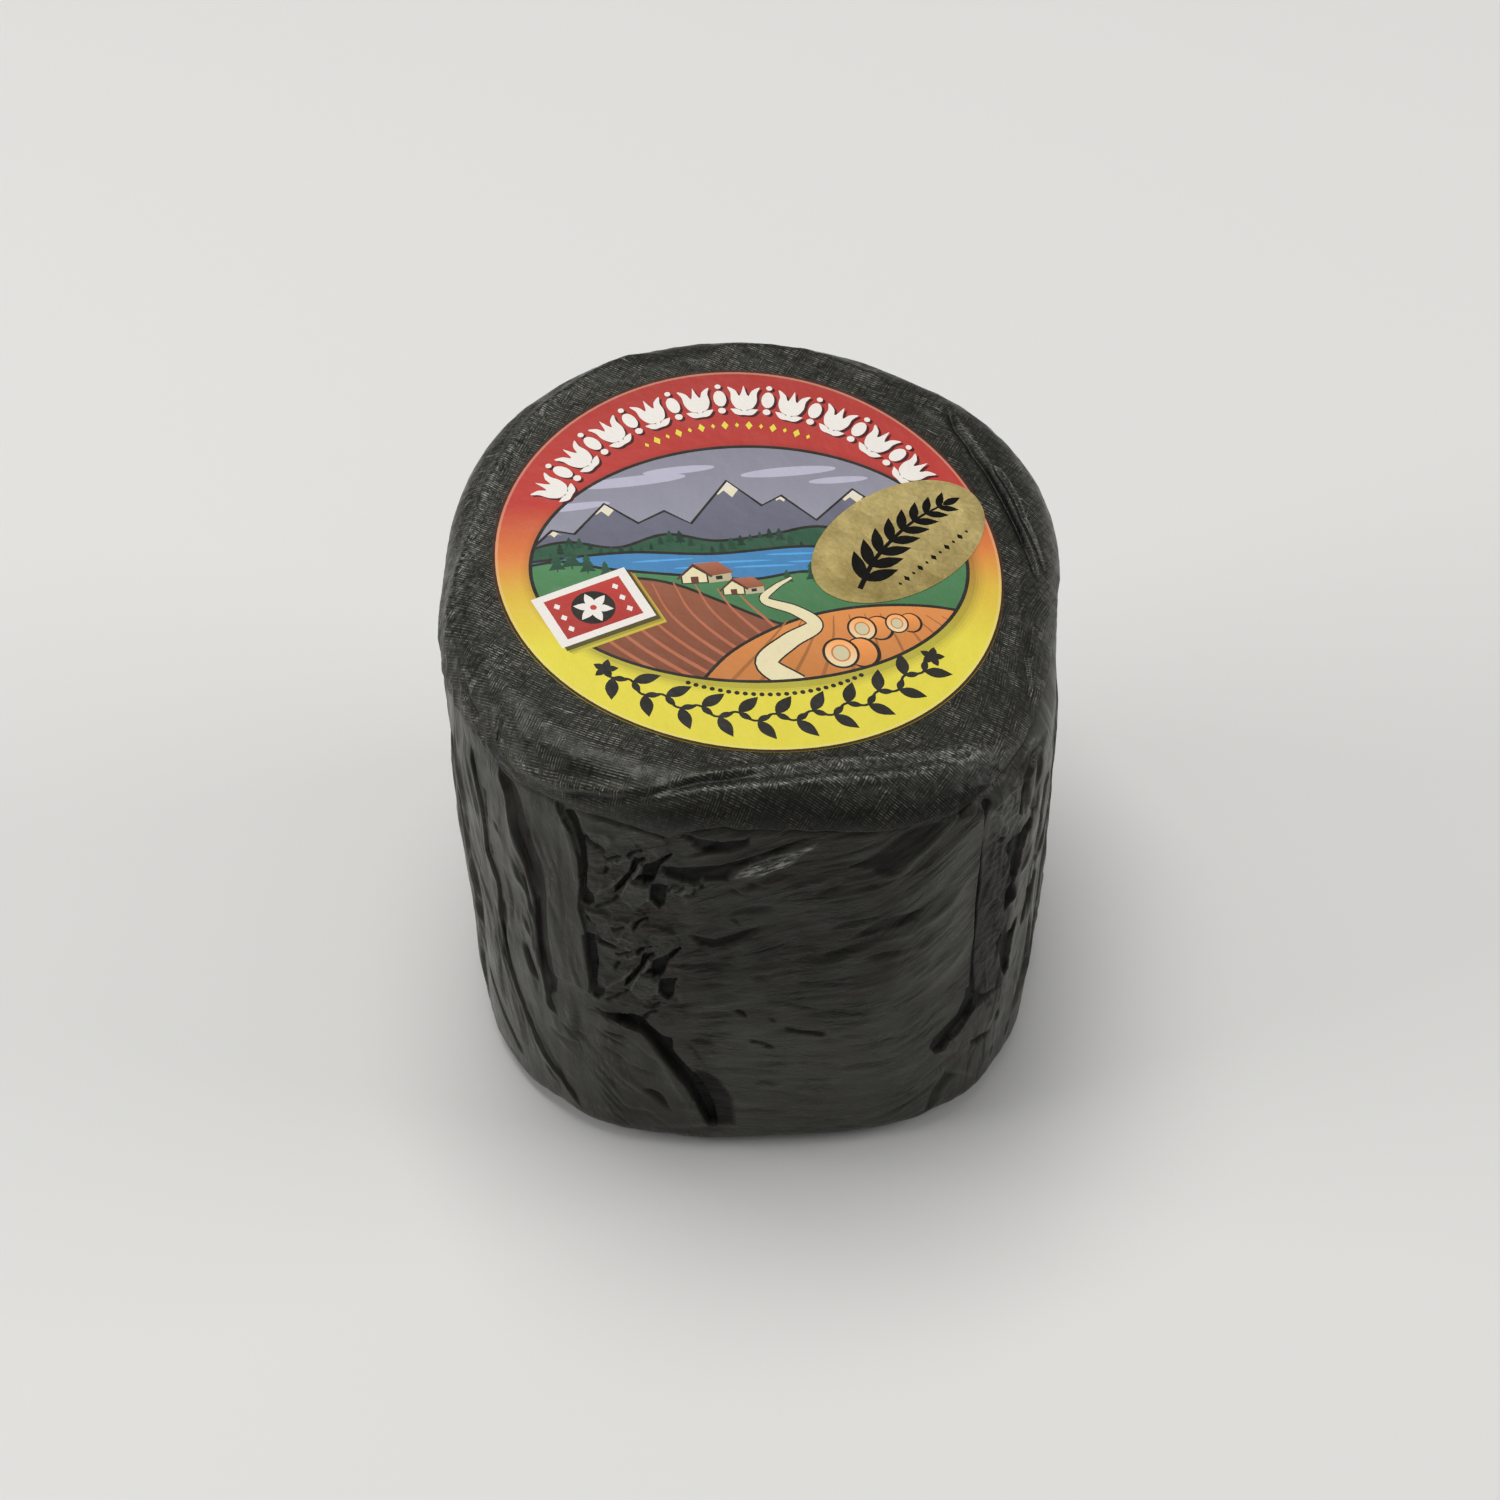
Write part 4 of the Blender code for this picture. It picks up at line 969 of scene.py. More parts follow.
def noise(tree, place, scale, detail=2.0, roughness=0.5):
    """Plain noise from 0 to 1 at a place."""
    inputs = {"Vector": place, "Scale": scale, "Detail": detail, "Roughness": roughness}
    return add_node(tree, "ShaderNodeTexNoise", None, inputs).outputs["Fac"]


def stretched(tree, place, scale, turn=(0.0, 0.0, 0.0)):
    """A place turned and stretched before a pattern reads it."""
    inputs = {"Vector": place, "Scale": scale, "Rotation": turn}
    return add_node(tree, "ShaderNodeMapping", None, inputs).outputs["Vector"]


def new_finish(name, constants):
    """A new material and its tree and shader, with the values that are the same all over set on it."""
    material = bpy.data.materials.new(name)
    material.use_nodes = True
    shader = material.node_tree.nodes["Principled BSDF"]
    for socket, value in constants.items():
        shader.inputs[socket].default_value = value
    return material, material.node_tree, shader


def attribute(tree, name, output):
    """A value that the mesh stores, as a vector or a number."""
    return add_node(tree, "ShaderNodeAttribute", {"attribute_name": name}).outputs[output]


def bump(tree, height, distance, strength=1.0, under=None):
    """A normal that follows a height."""
    inputs = {"Height": height, "Distance": distance, "Strength": strength}
    if under is not None:
        inputs["Normal"] = under
    return add_node(tree, "ShaderNodeBump", None, inputs).outputs["Normal"]


def screen(red, green, blue):
    """The linear light of a colour given as a screen shows it, from 0 to 255."""
    parts = [part / 255.0 for part in (red, green, blue)]
    return tuple(part / 12.92 if part <= 0.04045 else ((part + 0.055) / 1.055) ** 2.4 for part in parts)


def colour_setting(name, description, shade):
    """A colour that a user can change."""
    return FloatVectorProperty(
        name=name, description=description, subtype="COLOR", size=3, min=0.0, max=1.0, default=screen(*shade)
    )


def length_setting(name, description, default):
    """A length that a user can change."""
    return FloatProperty(
        name=name, description=description, unit="LENGTH", min=0.0, precision=5, default=default
    )


def share_setting(name, description, default, highest=1.0):
    """A share that a user can change."""
    return FloatProperty(
        name=name, description=description, subtype="FACTOR", min=0.0, max=highest, default=default
    )


def number_setting(name, description, default, subtype="NONE"):
    """Another number that a user can change."""
    return FloatProperty(name=name, description=description, subtype=subtype, default=default)


def oval(centre, half_width, half_height, turn=0.0, count=48):
    """The outline of an oval."""
    angles = np.arange(count) / count * 2.0 * math.pi
    return placed([(half_width * math.cos(a), half_height * math.sin(a)) for a in angles], centre, turn)


def placed(points, centre, turn=0.0, scale=1.0):
    """Points turned by an angle in degrees, scaled, and moved."""
    cosine = math.cos(math.radians(turn)) * scale
    sine = math.sin(math.radians(turn)) * scale
    return [(centre[0] + x * cosine - y * sine, centre[1] + x * sine + y * cosine) for x, y in points]


def smooth_line(points, steps=8):
    """A smooth curve through points."""
    places = [Vector(point) for point in points]
    places = [2.0 * places[0] - places[1]] + places + [2.0 * places[-1] - places[-2]]
    curve = []
    for before, first, second, after in zip(places, places[1:], places[2:], places[3:]):
        for step in range(steps):
            t = step / steps
            bend = (2.0 * before - 5.0 * first + 4.0 * second - after) * t * t
            cubic = (3.0 * first - before - 3.0 * second + after) * t**3
            place = 0.5 * (2.0 * first + (second - before) * t + bend + cubic)
            curve.append((place.x, place.y))
    curve.append(tuple(places[-2]))
    return curve


def band(points, start, end=None):
    """The outline of a band along a line, from its width at the start to its width at the end."""
    end = start if end is None else end
    left = []
    right = []
    for number, (x, y) in enumerate(points):
        before = points[max(number - 1, 0)]
        after = points[min(number + 1, len(points) - 1)]
        ahead = Vector((after[0] - before[0], after[1] - before[1])).normalized()
        half = 0.5 * (start + (end - start) * number / (len(points) - 1))
        left.append((x - ahead.y * half, y + ahead.x * half))
        right.append((x + ahead.y * half, y - ahead.x * half))
    return left + right[::-1]


def leaf(foot, turn, length, width):
    """The outline of a pointed leaf that grows from its foot at an angle in degrees."""
    edge = [(length * t, width * math.sin(math.pi * t**0.85) * 0.5) for t in np.linspace(0.0, 1.0, 9)]
    return placed(edge + [(x, -y) for x, y in edge[-2:0:-1]], foot, turn)


def dimmed(colour, share):
    """A colour made darker, or lighter where the share is above 1."""
    return tuple(min(part * share, 1.0) for part in colour)


def cut_print(edge, layers, spacing):
    """Triangles over a sheet, cut along every outline on it, with the layer that shows on each."""
    points = []
    loops = []
    for outline in [edge] + [layer.outline for layer in layers]:
        number = list(range(len(points), len(points) + len(outline)))
        x, y = np.array(outline).T
        loops.append(number if np.sum(x * np.roll(y, -1) - np.roll(x, -1) * y) > 0.0 else number[::-1])
        points += [Vector(point) for point in outline]
    reach_x = max(abs(x) for x, _ in edge)
    reach_y = max(abs(y) for _, y in edge)
    inner_share = 1.0 - 0.6 * spacing / reach_y
    for row, y in enumerate(np.arange(-reach_y, reach_y, spacing * ROW_STEP)):
        for x in np.arange(-reach_x + (row % 2) * 0.5 * spacing, reach_x, spacing):
            if math.hypot(x / reach_x, y / reach_y) < inner_share:
                points.append(Vector((x, y)))
    made = geometry.delaunay_2d_cdt(points, [], loops, CDT_INSIDE, CDT_PRECISION)
    places = np.array([tuple(place) for place in made[0]])
    triangles = []
    tops = []
    for triangle, covering in zip(made[2], made[5]):
        if 0 in covering:
            numbers = sorted((number - 1 for number in covering if number > 0), reverse=True)
            shown = [n for n in numbers if layers[n].clip is None or layers[n].clip in numbers]
            triangles.append(tuple(triangle))
            tops.append(shown[0] if shown else None)
    kept = sorted({corner for triangle in triangles for corner in triangle})
    renumbered = {corner: number for number, corner in enumerate(kept)}
    triangles = [tuple(renumbered[corner] for corner in triangle) for triangle in triangles]
    return places[kept], triangles, tops


def print_colours(places, triangles, tops, layers):
    """The colour of each corner of each triangle, with how much it covers as its fourth part."""
    spans = [(min(y for _, y in each.outline), max(y for _, y in each.outline)) for each in layers]
    colours = []
    for triangle, top in zip(triangles, tops):
        for corner in triangle:
            if top is None:
                colours.append(NO_INK)
                continue
            low, high = spans[top]
            share = (places[corner][1] - low) / (high - low)
            layer = layers[top]
            parts = [a + (b - a) * share for a, b in zip(layer.low, layer.high)]
            colours.append((*parts, layer.cover))
    return colours


def printed_mesh(name, edge, layers, spacing, centre, turn, under, thickness):
    """A thin closed sheet that lies along the wheel's top, with its print as colours on its corners."""
    places, triangles, tops = cut_print(edge, layers, spacing)
    laid = np.array(placed(places, (0.0, 0.0), turn)) * MM
    x = laid[:, 0] + centre[0]
    y = laid[:, 1] + centre[1]
    z = top_height(x, y) + under
    count = len(places)
    points = np.concatenate([np.stack([x, y, z + thickness], axis=1), np.stack([x, y, z], axis=1)])
    sides = dict.fromkeys((a, b) for corners in triangles for a, b in zip(corners, corners[1:] + corners[:1]))
    rim = [(a, b) for a, b in sides if (b, a) not in sides]
    under_faces = [tuple(corner + count for corner in reversed(triangle)) for triangle in triangles]
    rim_faces = [(b, a, a + count, b + count) for a, b in rim]
    mesh = bpy.data.meshes.new(name)
    mesh.from_pydata(points.tolist(), [], triangles + under_faces + rim_faces)
    mesh.shade_smooth()
    mesh.set_sharp_from_angle(angle=math.radians(SHARP_ANGLE))
    colours = print_colours(places, triangles, tops, layers)
    bare = [NO_INK] * (len(mesh.loops) - len(colours))
    ink = mesh.attributes.new("print", "FLOAT_COLOR", "CORNER")
    ink.data.foreach_set("color", np.array(colours + bare, dtype=np.float32).ravel())
    sheet = np.concatenate([places, places])
    sheet = np.concatenate([sheet, np.zeros((2 * count, 1))], axis=1)
    write_attribute(mesh, "sheet", sheet)
    return mesh


def on_circle(radius, turn):
    """A point on a circle round the middle, at an angle in degrees."""
    return radius * math.cos(math.radians(turn)), radius * math.sin(math.radians(turn))


def spread(points, centre, width, height):
    """Points drawn out to a width and a height, and moved."""
    return [(centre[0] + x * width, centre[1] + y * height) for x, y in points]


def tinted(outline, ink, low=1.0, high=None, upper=None, clip=None, cover=1.0):
    """A layer whose ink is dimmed by one share at its lowest point, and by another at its highest."""
    high = low if high is None else high
    return Layer(outline, dimmed(ink, low), dimmed(upper or ink, high), clip, cover)


def landscape(label, field):
    """The layers of the printed landscape: mountains, a lake, hills and fields, cut to its field."""
    layers = []
    floor = -30.0

    def draw(outline, ink, low=1.0, high=None, upper=None):
        """Adds one layer, cut to the field."""
        layers.append(tinted(outline, ink, low, high, upper, field))

    def hill(points, ink, low=1.0, high=None):
        """Adds the ground under a smooth ridge, with its outline."""
        ridge = smooth_line(points)
        draw(ridge + [(ridge[-1][0], floor), (ridge[0][0], floor)], ink, low, high)
        draw(band(ridge, OUTLINE_WIDTH), label.dark)

    def conifer(foot, height, low=1.0, high=None):
        """Adds one tree."""
        right = ((0.07, 0), (0.07, 0.12), (1, 0.10), (0.42, 0.42), (0.80, 0.40), (0.32, 0.70), (0.55, 0.69))
        left = [(-x, y) for x, y in right[::-1]]
        draw(spread([*right, (0, 1), *left], foot, 0.30 * height, height), label.wood, low, high)

    clouds = ((-17, 17.5, 9, 1.1), (-9, 19.3, 6, 0.8), (9, 17.8, 8, 1), (-27, 12.8, 6, 0.8),
              (17, 15.6, 5, 0.7))
    for x, y, half, rise in clouds:
        draw(oval((x, y), half, rise, 3.0), label.sky, 1.55)
    far = [(-36, 3), (-31, 8), (-27.5, 6.8), (-22, 13), (-17, 8.2), (-12.5, 10.5), (-8.5, 7.4), (-1.5, 16.4)]
    far += [(3.5, 10.6), (7, 12.6), (12, 7), (19, 13.5), (25, 7.5), (30, 9.5), (36, 4)]
    draw(far + [(36, floor), (-36, floor)], label.mountain, 0.7, 1.5)
    snow = ((0, 0), (1, -0.95), (0.55, -0.6), (0.15, -1.1), (-0.25, -0.62), (-0.6, -0.9), (-0.72, -0.7))
    peaks = ((-22, 13, 2.6, 2.6), (-1.5, 16.4, 3, 3.4), (19, 13.5, 2.8, 2.8), (-31, 8, 1.6, 1.4),
             (7, 12.6, 1.5, 1.2))
    for x, y, half, drop in peaks:
        draw(spread(snow, (x, y), half, drop), label.cream, 1.0, 0.9, label.white)
    draw(band(far, 0.5), label.dark)
    woods = ((-36, 4), (-29, 5.2), (-21, 3.2), (-13, 5.4), (-5, 3.4), (4, 4.2), (12, 5.6), (22, 3.4), (36, 5))
    hill(woods, label.wood, 0.9, 1.5)
    for number in range(44):
        x = -35.0 + 1.62 * number
        y = 2.6 + 1.5 * math.sin(0.42 * x + 0.4)
        conifer((x, y - 0.7), 2.3 + 0.8 * math.sin(5.1 * number), 0.55 + 0.25 * (number % 3))
    hill(((-36, 1.4), (-20, 2), (-6, 0.6), (8, 1.4), (20, 0.8), (36, 2.2)), label.lake, 1.0, 1.35)
    gleams = ((-14, -0.2, 5), (-3, -1.3, 6.5), (7, -0.1, 4.5), (2, -2.5, 5), (-9, -2.1, 3.5), (11, -1.8, 5))
    for x, y, half in gleams:
        draw(oval((x, y), half, 0.20), label.lake, 2.2)
    shore = ((-36, 0.6), (-30, 1), (-24, -1), (-17, -2.6), (-8, -4.2), (0, -5.2), (8, -4),
             (16, -4.6), (36, -2))
    hill(shore, label.meadow, 0.65, 1.35)
    for x, y, height in ((-31, -1.2, 4.6), (-28.6, -0.8, 5.6), (-26.2, -2, 4.4), (-23.4, -2.9, 3.4),
                         (9.6, -6.2, 4.4), (11.8, -6.8, 5.4), (14, -6.6, 4.2), (5.4, -6.4, 3)):
        conifer((x, y), height, 0.9, 1.5)
    hill(((-36, -8), (-28, -4.6), (-20, -3.6), (-13, -5.4), (-6, -9.6), (1, -14), (8, -17), (14, -21)),
         label.soil, 0.62, 1.1)
    for step in range(9):
        start = -33.0 + 3.4 * step
        top = (start + 3.0, -5.0 - 0.05 * (start + 19) ** 2 * 0.4)
        furrow = smooth_line((top, (start + 5.2, -12.0), (start + 10.5, -19.0), (start + 19, -27.0)), 5)
        draw(band(furrow, 0.25, 0.8), label.soil, 1.65)
    hill(((-12, -27), (-6, -20.5), (2, -15.6), (10, -12.8), (19, -11.6), (28, -12), (36, -14)),
         label.corn, 0.72, 1.05)
    for step in range(12):
        top = (4.0 + 2.5 * step, -14.2 + 0.9 * math.sin(0.3 * step))
        foot = (-9.0 + 5.2 * step, -29.0)
        furrow = smooth_line((top, (0.6 * top[0] + 0.4 * foot[0] + 0.8, -19.5), foot), 5)
        draw(band(furrow, 0.18, 0.75), label.corn, 0.55)
    path = ((3.4, -27.5), (-0.6, -23), (3.6, -18.6), (8.2, -15.4), (5.6, -12.2), (1, -9.8),
            (3, -7.2), (6, -5.2))
    path = smooth_line(path)
    draw(band(path, 4.6, 0.7), label.dark)
    draw(band(path, 3.9, 0.4), label.cream)

    for x, y, size in ((15.6, -16.4, 3.0), (21.4, -15.4, 2.4), (11.4, -21.4, 3.7)):
        draw(oval((x + 0.95 * size, y + 0.05), 0.78 * size, 0.86 * size), label.dark)
        draw(oval((x + 0.9 * size, y + 0.1), 0.66 * size, 0.76 * size), label.corn, 0.9, 1.3)
        draw(band([(x, y - 0.66 * size), (x + 0.9 * size, y - 0.60 * size)], 0.2), label.corn, 0.9)
        draw(oval((x, y), 0.80 * size, 0.86 * size), label.dark)
        draw(oval((x, y), 0.68 * size, 0.75 * size), label.cream, 1.0, 1.5, label.corn)
        draw(oval((x, y), 0.42 * size, 0.48 * size), label.corn, 0.8)
        draw(oval((x, y), 0.34 * size, 0.40 * size), label.cream, 0.8)

    wall = ((-0.5, 0), (0.5, 0), (0.5, 0.42), (0, 0.86), (-0.5, 0.42))
    side_wall = ((0.5, 0), (1.35, 0.08), (1.35, 0.5), (0.5, 0.42))
    roof = ((-0.12, 0.92), (0.08, 0.98), (0.95, 1.02), (1.48, 0.46), (0.64, 0.34), (0.02, 0.90))
    eaves = ((-0.66, 0.28), (-0.60, 0.22), (0.02, 0.84), (0.60, 0.26), (0.68, 0.33), (0.02, 0.98))
    door = ((-0.14, 0.02), (0.14, 0.02), (0.14, 0.34), (-0.14, 0.34))
    window = ((0.78, 0.14), (1.02, 0.16), (1.02, 0.34), (0.78, 0.32))
    farmhouse = (
        (wall, label.dark, 1.0, 1.0),
        (spread(wall, (0, 0.05), 0.88, 0.88), label.cream, 1.0, 1.0),
        (side_wall, label.cream, 0.62, 0.62),
        (roof, label.soil, 0.9, 1.5),
        (eaves, label.soil, 0.35, 0.35),
        (door, label.soil, 0.5, 0.5),
        (window, label.dark, 1.0, 1.0),
    )
    for x, y, size in ((-9.5, -5.6, 4.4), (-3.6, -8.4, 3.6)):
        for shape, ink, low, high in farmhouse:
            draw(placed(shape, (x, y), 0.0, size), ink, low, high)
    return layers


def label_layers(label):
    """All the print on the label: its border, its ornaments, its landscape and its card."""
    layers = []

    def draw(outline, ink, low=1.0, high=None, upper=None, cover=1.0):
        """Adds one layer."""
        layers.append(tinted(outline, ink, low, high, upper, None, cover))

    def field_oval(grow, shift_x=0.0, shift_y=0.0, count=200):
        """The outline of the picture's field, grown and shifted."""
        centre = (FIELD_CENTRE[0] + shift_x, FIELD_CENTRE[1] + shift_y)
        return oval(centre, FIELD_HALF_WIDTH + grow, FIELD_HALF_HEIGHT + grow, 0.0, count)

    for grow, cover in ((2.4, 0.07), (1.9, 0.15), (1.4, 0.26), (0.9, 0.40)):
        draw(field_oval(grow, 0.5, -0.9, 160), label.dark, cover=cover)
    draw(field_oval(0.6), label.dark)
    field = len(layers)
    draw(field_oval(0.0), label.sky, 1.35, 0.8)
    layers.extend(landscape(label, field))

    rings = ((40.5, 0.4, label.cream, 1.0, 0.25), (40.98, 0.46, label.soil, 0.16, 1.0))
    for radius, width, ink, share, cover in rings:
        for start in range(0, 360, 45):
            line = [on_circle(radius, start + 3.0 * step) for step in range(17)]
            draw(band(line, width), ink, share, cover=cover)

    cup = ((0, -2.5), (-1.5, -1.9), (-2.3, -0.2), (-2.35, 1.6), (-2.9, 3.1), (-1.5, 2.3), (-0.75, 1),
           (0, 3.5))
    cup = smooth_line(cup, 4)
    tulip = [cup + [(-x, y) for x, y in cup[-2:0:-1]], band([(0, -3.6), (0, -2.0)], 0.8)]
    tulip += [leaf((0.0, -3.5), turn, 2.8, 1.3) for turn in (28, 152)]
    bud = [oval((0, y), width, height, 0.0, count)
           for y, width, height, count in ((0.4, 1.15, 1.9, 20), (-2.5, 0.7, 0.7, 12), (3.3, 0.55, 0.55, 12))]
    for shift_x, shift_y, ink, share in ((0.40, -0.45, label.red, 0.12), (0.0, 0.0, label.white, 1.0)):
        for number in range(19):
            turn = 150.0 - 6.66 * number
            x, y = on_circle(FLOWER_RADIUS, turn)
            for shape in bud if number % 2 else tulip:
                draw(placed(shape, (x + shift_x, y + shift_y), turn - 90.0, 0.94), ink, share)
    lozenge = ((0, -1), (0.62, 0), (0, 1), (-0.62, 0))
    for number in range(15):
        turn = 118.0 - 4.0 * number
        size = 0.95 if number % 2 else 0.55
        draw(placed(lozenge, on_circle(LOZENGE_RADIUS, turn), turn - 90.0, size), label.yellow)

    twig_ends = (221.0, 319.0)
    turns = np.linspace(*twig_ends, 120)
    stem = [on_circle(TWIG_RADIUS * (1.0 + 0.022 * math.sin(0.52 * number)), turn)
            for number, turn in enumerate(turns)]
    draw(band(stem, 0.45), label.dark)
    for number, (place, turn) in enumerate(zip(stem[4:-2:6], turns[4:-2:6])):
        along = turn + 90.0
        side = 1 if number % 2 else -1
        draw(leaf(place, along + side * 52.0, 4.6, 2.1), label.dark)
        draw(leaf(place, along - side * 30.0, 2.6, 1.2), label.dark)
    for turn in twig_ends:
        for petal in range(5):
            draw(leaf(on_circle(TWIG_RADIUS, turn), 72.0 * petal, 2.1, 1.3), label.dark)
    for number in range(23):
        draw(oval(on_circle(DOT_RADIUS, 243.0 + 2.5 * number), 0.42, 0.42, 0.0, 10), label.dark)

    card = spread(CORNERS, (0, 0), CARD_HALF_WIDTH, CARD_HALF_HEIGHT)
    for shift, cover in ((1.5, 0.25), (1.1, 0.5), (0.7, 0.9)):
        centre = (CARD_CENTRE[0] + shift, CARD_CENTRE[1] - shift)
        draw(placed(card, centre, CARD_TURN), label.dark, cover=cover)
    draw(placed(card, CARD_CENTRE, CARD_TURN), label.white)
    inner = spread(CORNERS, (0, 0), CARD_HALF_WIDTH - 1.6, CARD_HALF_HEIGHT - 1.3)
    draw(placed(inner, CARD_CENTRE, CARD_TURN), label.red, 0.75, 1.0)
    draw(placed(oval((0, 0), 3.5, 3.5), CARD_CENTRE, CARD_TURN), label.dark)
    for petal in range(6):
        draw(leaf(CARD_CENTRE, CARD_TURN + 30.0 + 60.0 * petal, 3.2, 1.5), label.white)
    draw(oval(CARD_CENTRE, 0.55, 0.55, 0.0, 12), label.red)
    for x in (-5.1, 5.1):
        for y in (-2.6, 0.0, 2.6):
            centre = placed([(x, y)], CARD_CENTRE, CARD_TURN)[0]
            draw(placed([(0, -1), (0.8, 0), (0, 1), (-0.8, 0)], centre, CARD_TURN, 0.7), label.white)
    return layers


def sticker_layers(sticker):
    """The ornament on the sticker: a sprig that lies along it, over a row of small lozenges."""
    stem = smooth_line(((-12.5, -3.4), (-6.5, -0.6), (0, 1.0), (6, 1.6), (11.5, 1.2)), 10)
    shapes = [band(stem, 0.9, 0.35)]
    for number, place in enumerate(stem[3::5]):
        size = 6.4 - 0.4 * number
        shapes += [leaf(place, 22.0 - 4.0 * number + side, size, 0.36 * size) for side in (-38.0, 38.0)]
    shapes.append(leaf(stem[-1], -10.0, 3.6, 1.4))
    lozenge = ((0, -1), (0.7, 0), (0, 1), (-0.7, 0))
    for number in range(11):
        place = (1.7 * number - 6.5, -6.6 + 0.14 * number)
        shapes.append(placed(lozenge, place, 0.0, 0.4 + 0.3 * (number % 2)))
    return [tinted(shape, sticker.ink) for shape in shapes]


class FoilSettings(bpy.types.PropertyGroup):
    """The wrapper's colours and relief."""

    top_colour: colour_setting("Top sheet", "Colour of the embossed top sheet", (33, 33, 27))
    # Painted highlight that the emboss threads show
    thread_highlight_colour: colour_setting("Threads", "Colour of the emboss where it catches light", (112, 110, 98))
    side_colour: colour_setting("Side sheet", "Colour of the smooth side sheet", (49, 50, 43))
    # Painted light on the side sheet, then painted shade in its hollows and in its folds
    painted_light_colour: colour_setting("Light colour", "Colour of the side sheet where it is taut", (86, 87, 79))
    hollow_shade_colour: colour_setting("Hollow colour", "Colour of the foil in its shallow hollows", (27, 25, 20))
    fold_shade_colour: colour_setting("Folds", "Colour deep in the folds", (14, 14, 12))
    warm_colour: colour_setting("Warm tint", "Colour of the side sheet's duller parts", (44, 41, 34))
    # Real wear on rubbed edges, and painted glints and highlights on bright creases
    worn_and_glint_colour: colour_setting("Worn edges", "Colour of rubbed edges and bright creases", (150, 150, 144))
    top_roughness: share_setting("Top roughness", "How dull the top sheet is", 0.40)
    side_roughness: share_setting("Side roughness", "How dull the side sheet is", 0.36)
    side_metal: share_setting("Side metal", "How much the side sheet shows its metal", 0.20)
    side_shine: share_setting("Side shine", "How strongly the side sheet's film shines", 0.25)
    metal: share_setting("Metal", "How much the foil shows its metal", 0.55)
    emboss_turn: number_setting("Emboss turn", "Degrees that the threads are turned", 25.0)
    emboss_pitch: length_setting("Emboss pitch", "Distance between the threads of the emboss", 0.00044)
    emboss_depth: length_setting("Emboss depth", "Height of the emboss", 0.00005)
    fold_share: share_setting("Folds", "Height of the folds, as a share of the real ones", 1.0, 2.0)


class LabelSettings(bpy.types.PropertyGroup):
    """The printed label's colours and thickness."""

    thickness: length_setting("Thickness", "Thickness of the label paper", 0.0002)
    red: colour_setting("Red", "The label's upper field", (192, 62, 54))
    orange: colour_setting("Orange", "Between the red and the yellow", (222, 128, 66))
    mustard: colour_setting("Mustard", "The yellow field's upper part", (222, 184, 66))
    yellow: colour_setting("Yellow", "The label's lower field", (230, 216, 74))
    dark: colour_setting("Dark ink", "Outlines and dark ornaments", (38, 36, 28))
    white: colour_setting("White ink", "Pale ornaments and the card", (238, 232, 224))
    sky: colour_setting("Sky", "Sky of the printed landscape", (152, 150, 164))
    mountain: colour_setting("Mountains", "Mountains of the printed landscape", (92, 92, 106))
    lake: colour_setting("Lake", "Lake of the printed landscape", (60, 116, 160))
    meadow: colour_setting("Meadows", "Meadows of the printed landscape", (70, 118, 76))
    wood: colour_setting("Woods", "Trees of the printed landscape", (38, 72, 52))
    soil: colour_setting("Soil", "Brown hills of the printed landscape", (146, 86, 60))
    corn: colour_setting("Corn", "Orange field of the printed landscape", (220, 140, 74))
    cream: colour_setting("Cream", "Palest parts of the printed landscape", (232, 220, 178))


class StickerSettings(bpy.types.PropertyGroup):
    """The gold sticker's colours and thickness."""

    thickness: length_setting("Thickness", "Thickness of the foil sticker", 0.00012)
    gold: colour_setting("Gold", "The sticker's foil", (210, 190, 126))
    # The darker end of the sticker's painted light
    shadow_gold: colour_setting("Deep gold", "The duller parts of the foil", (164, 143, 84))
    ink: colour_setting("Ink", "The ornament on the foil", (18, 17, 12))


class StageSettings(bpy.types.PropertyGroup):
    """The camera, the floor and the lights."""

    lens: number_setting("Lens", "Focal length on a 36 mm sensor", 72.0, "DISTANCE_CAMERA")
    distance: length_setting("Distance", "From the camera to the middle of the wheel", 0.5162)
    elevation: number_setting("Elevation", "Angle above the floor", 0.8465, "ANGLE")
    roll: number_setting("Roll", "Turn of the picture", -0.0048, "ANGLE")
    floor: colour_setting("Floor", "Colour of the plain floor", (226, 225, 222))
    key: number_setting("Key light", "Power of the large light above", 13.5, "POWER")
    side: number_setting("Side lights", "Power of the soft lights at the sides", 6.5, "POWER")
    air: number_setting("Surroundings", "Strength of the light all round", 0.20)


def thread_lines(tree, along, drift, pitch, fineness):
    """Thin bright lines at a pitch: 1 on a line and 0 between."""
    turns = plus(tree, times(tree, along, 2.0 * math.pi / pitch), drift)
    swell = plus(tree, 0.5, times(tree, reckon(tree, "SINE", turns), 0.5))
    return reckon(tree, "POWER", swell, fineness)


